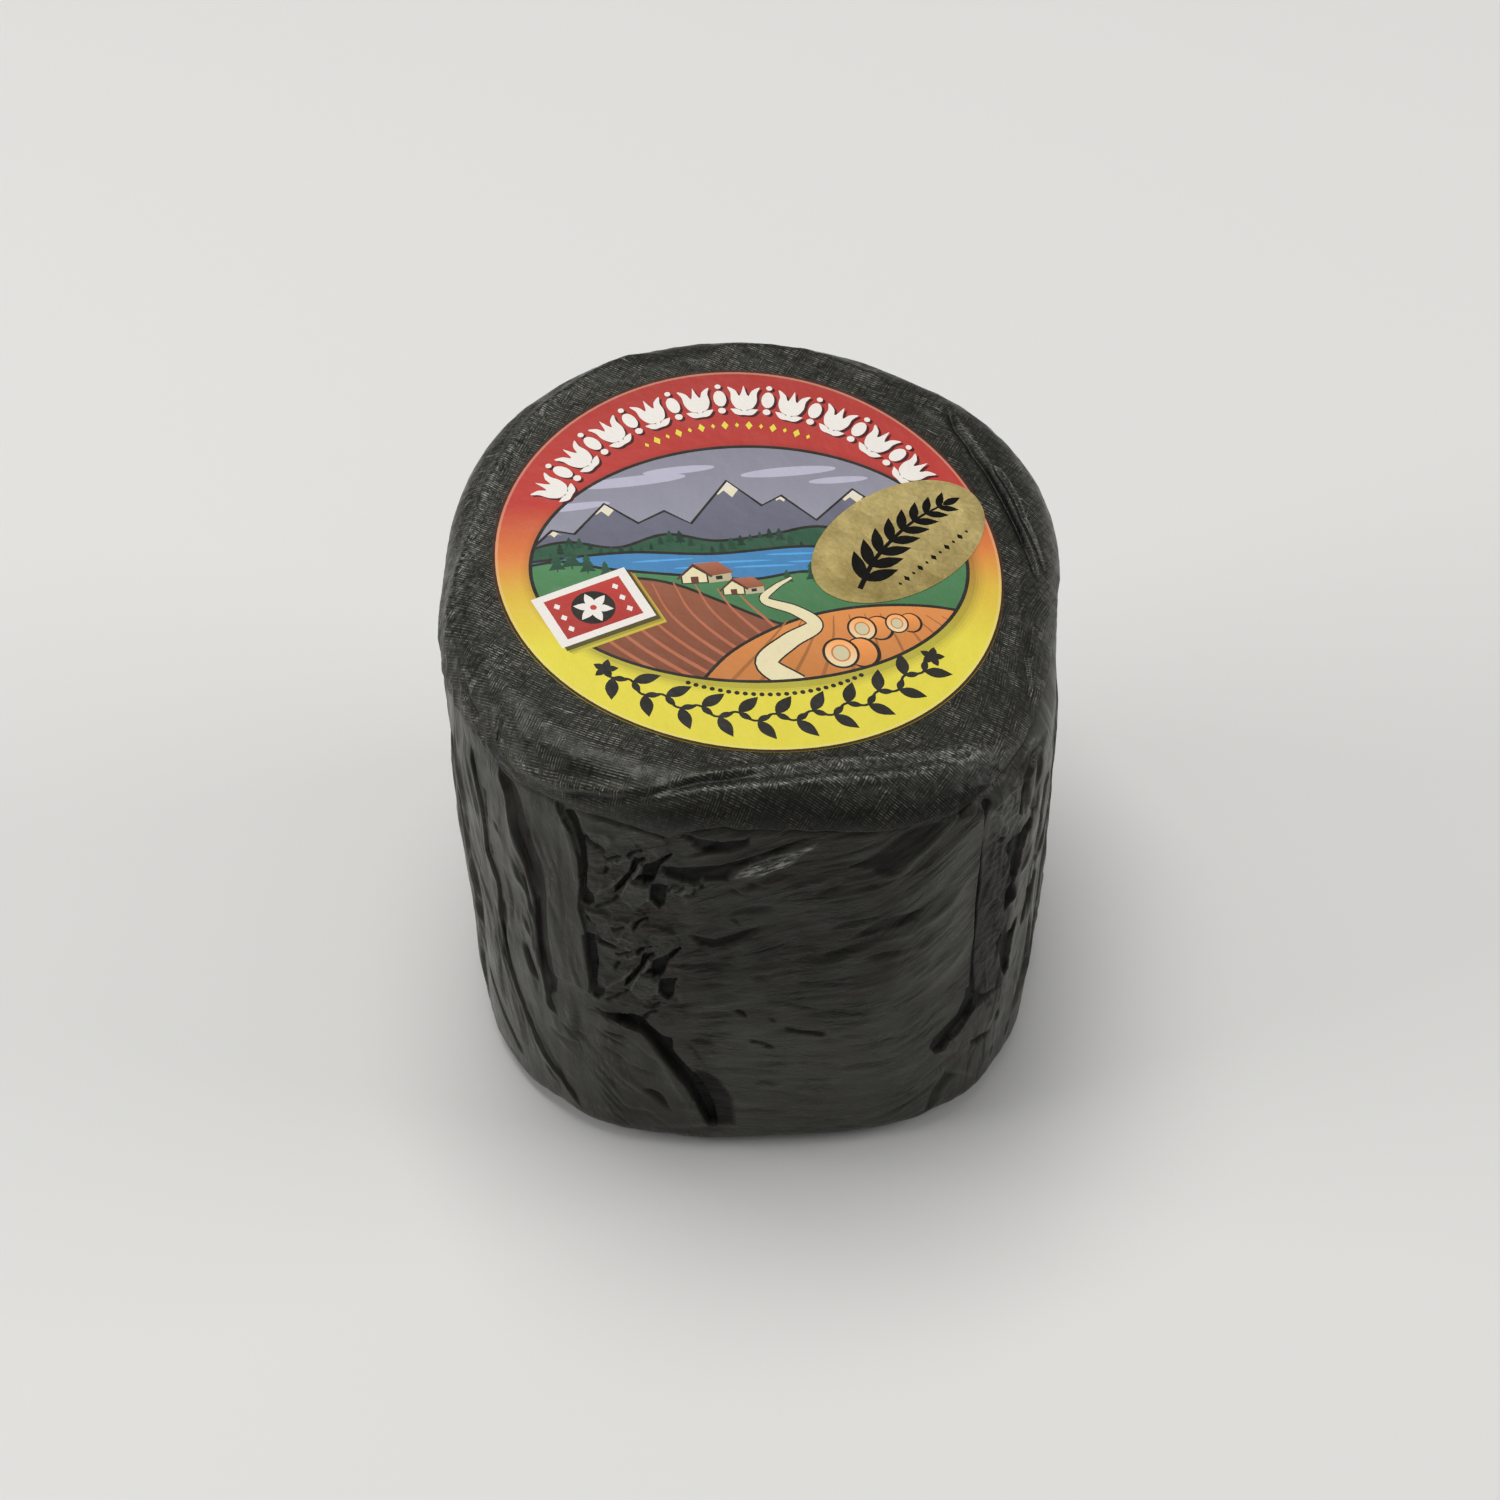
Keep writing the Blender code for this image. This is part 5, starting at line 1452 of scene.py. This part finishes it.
def embossed_finish(foil):
    """Dark foil with a linen emboss, painted highlights on its threads, bright scratches where it was
    creased, painted glints on its bright creases and painted shade in its folds.
    """
    material, tree, shader = new_finish("embossed_foil", {"Metallic": foil.metal})
    sheet = attribute(tree, "sheet", "Vector")
    shade = attribute(tree, "shade", "Fac")
    grain = stretched(tree, sheet, (1.0, 1.0, 1.0), (0.0, 0.0, math.radians(foil.emboss_turn)))
    split = add_node(tree, "ShaderNodeSeparateXYZ", None, {"Vector": grain})
    drift = times(tree, reckon(tree, "SUBTRACT", noise(tree, sheet, 240.0, 3.0), 0.5), 5.0)
    counter_drift = times(tree, drift, -0.8)
    first = thread_lines(tree, split.outputs["X"], drift, foil.emboss_pitch, 1.8)
    second = thread_lines(tree, split.outputs["Y"], counter_drift, foil.emboss_pitch, 1.8)
    swap = rescaled(tree, noise(tree, stretched(tree, grain, (1.0, 0.6, 1.0)), 420.0, 2.0, 0.6), 0.44, 0.64)
    weave = times(tree, first, swap)
    weave = reckon(tree, "MAXIMUM", weave, times(tree, second, reckon(tree, "SUBTRACT", 1.0, swap)))
    tiles = thread_lines(tree, split.outputs["X"], drift, 2.4 * foil.emboss_pitch, 5.0)
    cross = thread_lines(tree, split.outputs["Y"], counter_drift, 2.4 * foil.emboss_pitch, 5.0)
    gaps = times(tree, reckon(tree, "MAXIMUM", tiles, cross), -0.7)
    weave = times(tree, weave, plus(tree, 1.0, gaps))
    patches = rescaled(tree, noise(tree, sheet, 110.0, 4.0, 0.6), 0.38, 0.66, 0.45, 1.0)

    scratches = 0.0
    for axis, spacing in (("X", 0.0036), ("Y", 0.0047)):
        bend = times(tree, noise(tree, sheet, 90.0, 2.0), 4.0)
        turns = plus(tree, times(tree, split.outputs[axis], math.pi / spacing), bend)
        line = rescaled(tree, reckon(tree, "ABSOLUTE", reckon(tree, "SINE", turns)), 0.0, 0.10, 1.0, 0.0)
        broken = rescaled(tree, noise(tree, sheet, 260.0 if axis == "X" else 190.0, 3.0, 0.6), 0.53, 0.64)
        scratches = reckon(tree, "MAXIMUM", scratches, times(tree, line, broken))
    # The scratches are real wear, shown more where light is painted and less under painted shade
    scratches = times(tree, scratches, rescaled(tree, shade, -0.5, 0.5, 1.0, 0.2))

    speckle = rescaled(tree, noise(tree, sheet, 1300.0, 2.0, 0.6), 0.36, 0.66)
    # Painted highlight on the threads of the weave, with random sparkle
    lift = times(tree, times(tree, weave, patches), plus(tree, 0.25, speckle))
    colour = mixed(tree, lift, foil.top_colour, foil.thread_highlight_colour)
    colour = mixed(tree, times(tree, scratches, speckle), colour, foil.worn_and_glint_colour)
    # Painted glints where the shade attribute is below 0, then painted shade in the folds
    bright = rescaled(tree, times(tree, shade, -1.0), 0.0, 1.0)
    glints = times(tree, speckle, plus(tree, 0.15, weave))
    colour = mixed(tree, times(tree, bright, glints), colour, foil.worn_and_glint_colour)
    colour = mixed(tree, rescaled(tree, shade, 0.0, 1.0, 0.0, 0.85), colour, foil.fold_shade_colour)
    tree.links.new(colour, shader.inputs["Base Color"])
    low = foil.top_roughness - 0.08
    rough = rescaled(tree, noise(tree, sheet, 500.0, 2.0), 0.3, 0.7, low, foil.top_roughness + 0.10)
    tree.links.new(rough, shader.inputs["Roughness"])
    under = bump(tree, creased(tree, sheet, 160.0), 0.00009)
    height = plus(tree, times(tree, weave, patches), times(tree, scratches, 1.6))
    tree.links.new(bump(tree, height, foil.emboss_depth, 1.0, under), shader.inputs["Normal"])
    return material


def creased(tree, place, scale, detail=3.0, roughness=0.55):
    """A pattern with sharp valleys, 0 in them and about 1 on the swells between."""
    around_0 = reckon(tree, "SUBTRACT", noise(tree, place, scale, detail, roughness), 0.5)
    return rescaled_plainly(tree, reckon(tree, "ABSOLUTE", around_0), 0.0, 0.2)


def satin_finish(foil):
    """Smooth dark foil with a satin sheen, fine wrinkles, painted light and painted silvery glints on its
    creases, and painted shade in its hollows and folds.
    """
    constants = {"Metallic": foil.side_metal, "Specular IOR Level": foil.side_shine}
    material, tree, shader = new_finish("satin_foil", constants)
    place = attribute(tree, "sheet", "Vector")
    along = attribute(tree, "grain", "Vector")
    shade = attribute(tree, "shade", "Fac")
    crumpling = attribute(tree, "crumpling", "Fac")
    long_creases = creased(tree, stretched(tree, along, (0.30, 1.0, 1.0)), 0.30, 4.0)
    short_creases = creased(tree, stretched(tree, along, (0.40, 1.0, 1.0)), 0.9)
    cluster = rescaled(tree, noise(tree, place, 0.11), 0.40, 0.62)

    clouds = noise(tree, stretched(tree, along, (0.6, 1.0, 1.0)), 0.12, 4.0, 0.6)
    colour = mixed(tree, rescaled(tree, clouds, 0.38, 0.64), foil.side_colour, foil.warm_colour)
    # Painted shade in the valleys of the fine creases
    lines = rescaled(tree, long_creases, 0.0, 0.30, 0.45, 0.0)
    lines = times(tree, lines, times(tree, cluster, crumpling))
    colour = mixed(tree, lines, colour, foil.fold_shade_colour)
    # Lighter specks on the swells between them: painted highlights and small scratches
    swells = rescaled(tree, short_creases, 0.55, 1.0, 0.0, 0.10)
    colour = mixed(tree, times(tree, swells, cluster), colour, foil.worn_and_glint_colour)
    # Painted light where the shade attribute is below 0, painted glint streaks on a painted dark where it is
    # lowest, then painted shade in the hollows and the folds
    light = times(tree, shade, -1.0)
    colour = mixed(tree, rescaled_plainly(tree, light, 0.0, 0.6), colour, foil.painted_light_colour)
    bright = rescaled_plainly(tree, light, 0.35, 1.0)
    glint_streaks = rescaled(tree, noise(tree, stretched(tree, along, (0.30, 1.0, 1.0)), 1.5, 3.0, 0.6), 0.42, 0.58)
    colour = mixed(tree, times(tree, bright, 0.75), colour, foil.fold_shade_colour)
    colour = mixed(tree, times(tree, bright, glint_streaks), colour, foil.worn_and_glint_colour)
    colour = mixed(tree, rescaled_plainly(tree, shade, 0.0, 0.62), colour, foil.hollow_shade_colour)
    colour = mixed(tree, rescaled_plainly(tree, shade, 0.62, 1.0), colour, foil.fold_shade_colour)
    tree.links.new(colour, shader.inputs["Base Color"])

    low = foil.side_roughness - 0.06
    rough = rescaled(tree, noise(tree, place, 0.16, 3.0), 0.3, 0.7, low, foil.side_roughness + 0.08)
    rough = plus(tree, rough, rescaled_plainly(tree, shade, 0.0, 3.0))
    tree.links.new(rough, shader.inputs["Roughness"])

    height = times(tree, long_creases, plus(tree, 0.12, cluster))
    height = plus(tree, height, times(tree, short_creases, 0.22))
    height = times(tree, height, plus(tree, 0.10, crumpling))
    grain = noise(tree, stretched(tree, along, (0.6, 1.0, 1.0)), 3.4, 3.0, 0.6)
    height = plus(tree, height, times(tree, grain, 0.10))
    crinkles = times(tree, glint_streaks, times(tree, bright, 1.5))
    height = plus(tree, height, crinkles)
    tree.links.new(bump(tree, height, 0.00024), shader.inputs["Normal"])
    return material


def paper_finish(label):
    """Glossy printed paper, red above and yellow below, with its print over it."""
    constants = {"Roughness": 0.5, "Specular IOR Level": 0.3, "Coat Weight": 0.25, "Coat Roughness": 0.14}
    material, tree, shader = new_finish("printed_paper", constants)
    reach = LABEL_RADIUS / MM
    sheet = attribute(tree, "sheet", "Vector")
    split = add_node(tree, "ShaderNodeSeparateXYZ", None, {"Vector": sheet})
    up = plus(tree, split.outputs["Y"], times(tree, split.outputs["X"], 0.03))
    place = rescaled_plainly(tree, up, -reach, reach)
    ramp = add_node(tree, "ShaderNodeValToRGB", None, {"Fac": place})
    stops = ramp.color_ramp.elements
    colours = (
        (0.0, dimmed(label.yellow, 0.96)), (0.28, label.yellow), (0.42, label.mustard),
        (0.52, label.orange), (0.66, label.red), (1.0, dimmed(label.red, 0.8)),
    )
    while len(stops) < len(colours):
        stops.new(0.5)
    for stop, (share, colour) in zip(stops, colours):
        stop.position = share
        stop.color = (*colour, 1.0)
    ink = add_node(tree, "ShaderNodeAttribute", {"attribute_name": "print"})
    speck = rescaled(tree, noise(tree, sheet, 5.0, 3.0, 0.7), 0.2, 0.8, 0.94, 1.05)
    colour = mixed(tree, ink.outputs["Alpha"], ramp.outputs["Color"], ink.outputs["Color"])
    multiplied = {"data_type": "RGBA", "blend_type": "MULTIPLY"}
    shaded = add_node(tree, "ShaderNodeMix", multiplied, {0: 1.0, 6: colour, 7: speck})
    tree.links.new(shaded.outputs[2], shader.inputs["Base Color"])
    height = noise(tree, sheet, 0.16, 3.0, 0.5)
    tree.links.new(bump(tree, height, 0.0006), shader.inputs["Normal"])
    return material


def gold_finish(sticker):
    """Satin gold foil, slightly crinkled, with painted light that makes it lighter towards one end, and its
    ornament over it.
    """
    material, tree, shader = new_finish("gold_foil", {"Metallic": 0.75})
    sheet = attribute(tree, "sheet", "Vector")
    split = add_node(tree, "ShaderNodeSeparateXYZ", None, {"Vector": sheet})
    # Painted light: the foil is lighter towards one end, mixed with random tone
    along = plus(tree, split.outputs["X"], times(tree, split.outputs["Y"], 0.7))
    light = times(tree, rescaled_plainly(tree, along, -18.0, 16.0), 0.65)
    clouds = rescaled(tree, noise(tree, sheet, 0.14, 3.0), 0.34, 0.66, 0.0, 0.45)
    colour = mixed(tree, plus(tree, light, clouds), sticker.shadow_gold, sticker.gold)
    ink = add_node(tree, "ShaderNodeAttribute", {"attribute_name": "print"})
    colour = mixed(tree, ink.outputs["Alpha"], colour, ink.outputs["Color"])
    tree.links.new(colour, shader.inputs["Base Color"])
    rough = rescaled(tree, noise(tree, sheet, 1.3, 3.0), 0.3, 0.7, 0.38, 0.48)
    tree.links.new(rough, shader.inputs["Roughness"])
    crinkles = creased(tree, sheet, 0.10, 2.0, 0.45)
    fine = times(tree, noise(tree, sheet, 1.6, 3.0, 0.5), 0.22)
    tree.links.new(bump(tree, plus(tree, crinkles, fine), 0.00010), shader.inputs["Normal"])
    return material


def top_sheet_relief(angle, way, foil):
    """The top sheet's relief, and the shade and light painted on it."""
    relief = np.zeros_like(way)
    shade = np.zeros_like(way)
    for crease in TOP_CREASES:
        add_crease(crease, angle, way, relief, shade)
    rim = eased(*RIM_WAYS, way)
    tissue = sum(patch(angle, way, *place) for place in TISSUE_PATCHES)
    broad = np.abs(unevenness(angle + 0.4 * way, way, 70, 4.4, seed=31))
    small = np.abs(unevenness(angle - 0.5 * way, way, 150, 2.2, seed=32))
    curls = unevenness(angle + 0.3 * way, way, 300, 1.1, seed=34)
    ripples = 0.18 * (0.5 - broad) + (0.08 + 0.30 * tissue) * (0.5 - small)
    slow = unevenness(angle, way, 30, 9.0, seed=33)
    ripples = ripples + 0.16 * tissue * (0.5 - np.abs(curls)) + 0.25 * slow
    relief = relief + rim * ripples
    # Painted shade over the tissue patches, with painted highlights on their curls
    shade = shade + tissue * (0.25 - 0.8 * eased(0.35, 0.75, curls))
    relief = relief + 0.5 * HEM_RISE * eased(*RISE_WAYS, way)
    for *place, dark in TOP_PAINTED_LIGHT_AND_SHADE:
        shade = shade + dark * patch(angle, way, *place)
    clear = eased(LABEL_RADIUS / MM - 0.5, LABEL_RADIUS / MM + 2.6, from_label(angle, way))
    return relief * clear * foil.fold_share, shade * clear


def side_sheet_relief(angle, way, turn, foil):
    """The relief, the painted shade and light, and the crumpling of a part of the side sheet, turned from the
    front.
    """
    seed = BACK_SEED if turn else FRONT_SEED
    relief, crumpling = wrinkles(angle - turn, way, seed)
    shade = np.zeros_like(way)
    for crease in side_creases(turn, seed):
        add_crease(crease, angle, way, relief, shade)
    for hollow in side_hollows(turn):
        add_hollow(hollow, angle, way, relief, shade)
    for first, last, upper, lower, dark in SIDE_PAINTED_LIGHT_AND_SHADE:
        shade = shade + dark * patch(angle - turn, way, first, last, upper, lower, 2.0, 5.0)
    if turn:
        shade = BACK_SHADE * shade
    clear = 1.0 - eased(FOOT_WAY / MM + 1.5, BASE_WAY / MM, way)
    hem = hem_way(angle)
    clear = clear * eased(hem - 0.8, hem + 1.2, way)
    return relief * clear * foil.fold_share - 0.5 * HEM_RISE, shade, crumpling


def add_side_part(name, part, rows, turn, tucked, foil):
    """Adds a part of the side sheet. Its half's upright edges lie over the other half's, or under them."""
    guides = guides_at(HOME_LEVEL)
    columns = round(part.columns * rows / SIDE_ROWS)
    homes = crowded(guides[part.first], guides[part.last], columns, part.zones)
    lowest = BASE_WAY / MM + PAST_FOOT
    levels = crowded(FIRST_LEVEL, lowest, rows, ROW_ZONES)
    angle = guided_angles(homes, levels) + turn
    start = hem_way(angle) - TUCK_UNDER
    way = start + (lowest - start) * ((levels - levels[0]) / (lowest - levels[0]))[:, None]
    relief, shade, crumpling = side_sheet_relief(angle, way, turn, foil)
    inward = np.minimum(homes - guides[0], guides[-1] - homes)
    if tucked:
        low = eased(FOOT_WAY / MM - 5.0, FOOT_WAY / MM + 1.0, way)
        sunk = BACK_EDGE_DEPTH - FOOT_EDGE_CUT * low
        relief = relief - sunk * (1.0 - eased(4.0, 8.0, inward))
    else:
        relief = relief - FRONT_EDGE_DEPTH * (1.0 - eased(0.0, 0.35, inward))
        # A painted highlight along the front half's upright edges
        shade = shade - 0.25 * (1.0 - eased(0.2, 0.7, inward))
    mesh = sheet_mesh(name, skin_points(angle, way, relief), closed=False)
    across = turned_from(FRONT_MIDDLE + turn, angle) * MM_PER_DEGREE
    along = way
    beside = across - SIDE_LEAN * (way - HOME_LEVEL)
    if part.name == "middle":
        along = across
        beside = flow_way(angle - turn, way)
    write_attribute(mesh, "sheet", np.stack([across, way, 0.0 * way], axis=-1))
    write_attribute(mesh, "grain", np.stack([along, beside, 0.0 * way], axis=-1))
    # The shade attribute holds painted shade, and painted light where it is below 0
    write_attribute(mesh, "shade", np.clip(shade, -1.0, 1.0))
    write_attribute(mesh, "crumpling", crumpling)
    add_piece(name, mesh, satin_finish(foil), ["wrapped_wheel"])


class CHEESE_WHEEL_OT_top_sheet(bpy.types.Operator):
    """Adds the embossed foil sheet over the top, down to its hem"""

    bl_idname = "cheese_wheel.top_sheet"
    bl_label = "Top sheet"
    bl_options = {"REGISTER", "UNDO"}

    def execute(self, context):
        foil = context.scene.cheese_wheel_foil
        angles = np.arange(TOP_COLUMNS) / TOP_COLUMNS * 360.0
        covered = np.repeat(np.array(COVERED_WAYS)[:, None], TOP_COLUMNS, axis=1)
        share = np.linspace(0.0, 1.0, TOP_ROWS)[:, None]
        hem = hem_way(angles)[None, :]
        way = np.concatenate([covered, CLOSE_ROWS_WAY + (hem - CLOSE_ROWS_WAY) * share])
        angle = np.repeat(angles[None, :], way.shape[0], axis=0)
        relief, shade = top_sheet_relief(angle, way, foil)
        past, inward = np.array(HEM_LIP).T[:, :, None]
        angle = np.concatenate([angle, np.repeat(angles[None, :], len(HEM_LIP), axis=0)])
        way = np.concatenate([way, hem + past])
        relief = np.concatenate([relief, relief[-1] - inward])
        shade = np.concatenate([shade, np.repeat(shade[-1:], len(HEM_LIP), axis=0)])
        mesh = sheet_mesh("top_sheet", skin_points(angle, way, relief), closed_middle=True)
        turn = np.radians(angle)
        sheet = np.stack([way * np.cos(turn), way * np.sin(turn), 0.0 * way], axis=-1) * MM
        write_attribute(mesh, "sheet", sheet)
        # The shade attribute holds painted shade, and painted light where it is below 0
        write_attribute(mesh, "shade", np.clip(shade, -1.0, 1.0))
        add_piece("top_sheet", mesh, embossed_finish(foil), ["wrapped_wheel"])
        return {"FINISHED"}


class CHEESE_WHEEL_OT_side_sheet(bpy.types.Operator):
    """Adds the smooth foil sheet round the side, with its folds, in two halves of three parts"""

    bl_idname = "cheese_wheel.side_sheet"
    bl_label = "Side sheet"
    bl_options = {"REGISTER", "UNDO"}

    def execute(self, context):
        foil = context.scene.cheese_wheel_foil
        for part in SIDE_PARTS:
            add_side_part("side_sheet_front_" + part.name, part, SIDE_ROWS, 0.0, False, foil)
            add_side_part("side_sheet_back_" + part.name, part, BACK_ROWS, BACK_TURN, True, foil)
        return {"FINISHED"}


class CHEESE_WHEEL_OT_base_gathers(bpy.types.Operator):
    """Adds the gathered foil under the base"""

    bl_idname = "cheese_wheel.base_gathers"
    bl_label = "Gathers under the base"
    bl_options = {"REGISTER", "UNDO"}

    def execute(self, context):
        foil = context.scene.cheese_wheel_foil
        angles = np.arange(BASE_COLUMNS) / BASE_COLUMNS * 360.0
        share = np.linspace(0.0, 1.0, BASE_ROWS)[:, None]
        reach = FOOT_BODY_RADIUS / MM - FOOT_RADIUS / MM + GATHER_LAP
        inward = reach * share**1.1
        angle = angles[None, :] + GATHER_TWIST * share**1.4
        way = BASE_WAY / MM - GATHER_LAP + inward
        spokes = np.broadcast_to(angles[None, :], angle.shape)
        broad_pleats = np.abs(unevenness(spokes, 0.04 * inward, 40, 1.0, seed=41))
        small_pleats = np.abs(unevenness(spokes, way, 90, 7.0, seed=42))
        pleats = 1.1 - 1.7 * broad_pleats - 0.5 * small_pleats
        depth = eased(0.0, 5.0, inward) * (0.5 + 0.5 * eased(reach, 0.4 * reach, inward))
        recess = depth * (0.15 + 0.75 * np.clip(pleats, 0.0, 1.4))
        points = skin_points(angle, np.broadcast_to(way, angle.shape), 0.0)
        points[..., 2] = recess * MM
        points[-1, :, :2] = points[-1, :, :2].mean(axis=0)
        mesh = sheet_mesh("base_gathers", points[:-1], last_point=points[-1, 0])
        # Painted shade in the pleats' valleys, and painted light on their ridges
        shade = np.clip(0.55 - 0.95 * pleats, -0.3, 0.85)
        values = np.append(shade[:-1].ravel(), 0.0)
        write_attribute(mesh, "shade", values)
        flat = np.concatenate([points[:-1].reshape(-1, 3), points[-1, :1]]) / MM
        write_attribute(mesh, "sheet", flat)
        write_attribute(mesh, "grain", flat)
        write_attribute(mesh, "crumpling", np.full(len(values), 0.5))
        add_piece("base_gathers", mesh, satin_finish(foil), ["wrapped_wheel"])
        return {"FINISHED"}


class CHEESE_WHEEL_OT_label(bpy.types.Operator):
    """Adds the printed label on the top"""

    bl_idname = "cheese_wheel.label"
    bl_label = "Label"
    bl_options = {"REGISTER", "UNDO"}

    def execute(self, context):
        label = context.scene.cheese_wheel_label
        edge = oval((0.0, 0.0), LABEL_RADIUS / MM, LABEL_RADIUS / MM, 0.0, LABEL_EDGE_POINTS)
        layers = label_layers(label)
        under = LABEL_LIFT * MM
        place = (LABEL_CENTRE, LABEL_TURN)
        mesh = printed_mesh("label", edge, layers, LABEL_SPACING, *place, under, label.thickness)
        add_piece("label", mesh, paper_finish(label), ["round_label"])
        return {"FINISHED"}


class CHEESE_WHEEL_OT_sticker(bpy.types.Operator):
    """Adds the gold foil sticker on the label"""

    bl_idname = "cheese_wheel.sticker"
    bl_label = "Sticker"
    bl_options = {"REGISTER", "UNDO"}

    def execute(self, context):
        sticker = context.scene.cheese_wheel_sticker
        edge = oval((0.0, 0.0), STICKER_HALF_LENGTH / MM, STICKER_HALF_WIDTH / MM, 0.0, STICKER_EDGE_POINTS)
        layers = sticker_layers(sticker)
        under = STICKER_LIFT * MM + context.scene.cheese_wheel_label.thickness
        place = (STICKER_CENTRE, STICKER_TURN)
        mesh = printed_mesh("sticker", edge, layers, STICKER_SPACING, *place, under, sticker.thickness)
        add_piece("sticker", mesh, gold_finish(sticker), ["oval_sticker"])
        return {"FINISHED"}


class CHEESE_WHEEL_OT_stage(bpy.types.Operator):
    """Adds the camera, the floor and the lights"""

    bl_idname = "cheese_wheel.stage"
    bl_label = "Stage"
    bl_options = {"REGISTER", "UNDO"}

    def execute(self, context):
        stage = context.scene.cheese_wheel_stage
        scene = context.scene
        scene.view_settings.view_transform = "Standard"
        ahead = Vector((0.0, math.cos(stage.elevation), -math.sin(stage.elevation)))
        right = Vector((1.0, 0.0, 0.0))
        up = right.cross(ahead)
        turned_right = math.cos(stage.roll) * right + math.sin(stage.roll) * up
        turned_up = math.cos(stage.roll) * up - math.sin(stage.roll) * right
        lens = bpy.data.cameras.new("camera")
        lens.lens = stage.lens
        lens.sensor_width = SENSOR_WIDTH
        lens.clip_start = NEAREST_SEEN
        camera = bpy.data.objects.new("camera", lens)
        scene.collection.objects.link(camera)
        turn = Matrix((turned_right, turned_up, -ahead)).transposed()
        camera.matrix_world = Matrix.Translation(TARGET - ahead * stage.distance) @ turn.to_4x4()
        scene.camera = camera

        floor_mesh = bpy.data.meshes.new("floor")
        corners = [(x * FLOOR_REACH, y * FLOOR_REACH, 0.0) for x, y in CORNERS]
        floor_mesh.from_pydata(corners, [], [(0, 1, 2, 3)])
        floor = bpy.data.objects.new("floor", floor_mesh)
        scene.collection.objects.link(floor)
        finish, _, shader = new_finish("plain_floor", {"Roughness": 0.7})
        shader.inputs["Base Color"].default_value = (*stage.floor, 1.0)
        floor_mesh.materials.append(finish)

        for name, setting, share, width, place in LIGHTS:
            self.add_light(scene, name, share * getattr(stage, setting), width, place)
        world = bpy.data.worlds.new("surroundings")
        world.use_nodes = True
        background = world.node_tree.nodes["Background"]
        background.inputs["Color"].default_value = AIR_COLOUR
        background.inputs["Strength"].default_value = stage.air
        scene.world = world
        return {"FINISHED"}

    def add_light(self, scene, name, power, width, place):
        """Adds one square light that faces the wheel."""
        lamp = bpy.data.lights.new(name, "AREA")
        lamp.energy = power
        lamp.size = width
        light = bpy.data.objects.new(name, lamp)
        light.location = place
        light.rotation_mode = "QUATERNION"
        light.rotation_quaternion = (TARGET - Vector(place)).to_track_quat("-Z", "Y")
        scene.collection.objects.link(light)


class CHEESE_WHEEL_PT_panel(bpy.types.Panel):
    """Lists the pieces of the wheel and what can be changed"""

    bl_label = "Cheese wheel"
    bl_idname = "CHEESE_WHEEL_PT_panel"
    bl_space_type = "VIEW_3D"
    bl_region_type = "UI"
    bl_category = "Cheese wheel"

    def draw(self, context):
        for operator in PIECES:
            self.layout.operator(operator.bl_idname)
        for name, settings in SETTINGS.items():
            box = self.layout.box()
            for setting in settings.__annotations__:
                box.prop(getattr(context.scene, name), setting)


PIECES = (
    CHEESE_WHEEL_OT_top_sheet,
    CHEESE_WHEEL_OT_side_sheet,
    CHEESE_WHEEL_OT_base_gathers,
    CHEESE_WHEEL_OT_label,
    CHEESE_WHEEL_OT_sticker,
    CHEESE_WHEEL_OT_stage,
)
SETTINGS = {
    "cheese_wheel_foil": FoilSettings,
    "cheese_wheel_label": LabelSettings,
    "cheese_wheel_sticker": StickerSettings,
    "cheese_wheel_stage": StageSettings,
}
CLASSES = (*SETTINGS.values(), *PIECES, CHEESE_WHEEL_PT_panel)


def register():
    """Adds the settings, the operators and the panel to Blender."""
    for each in CLASSES:
        bpy.utils.register_class(each)
    for name, settings in SETTINGS.items():
        setattr(bpy.types.Scene, name, PointerProperty(type=settings))


def unregister():
    """Takes the settings, the operators and the panel out of Blender."""
    for name in SETTINGS:
        delattr(bpy.types.Scene, name)
    for each in reversed(CLASSES):
        bpy.utils.unregister_class(each)


def main():
    """Builds every piece and the stage."""
    register()
    bpy.ops.cheese_wheel.top_sheet()
    bpy.ops.cheese_wheel.side_sheet()
    bpy.ops.cheese_wheel.base_gathers()
    bpy.ops.cheese_wheel.label()
    bpy.ops.cheese_wheel.sticker()
    bpy.ops.cheese_wheel.stage()


if __name__ == "__main__":
    main()
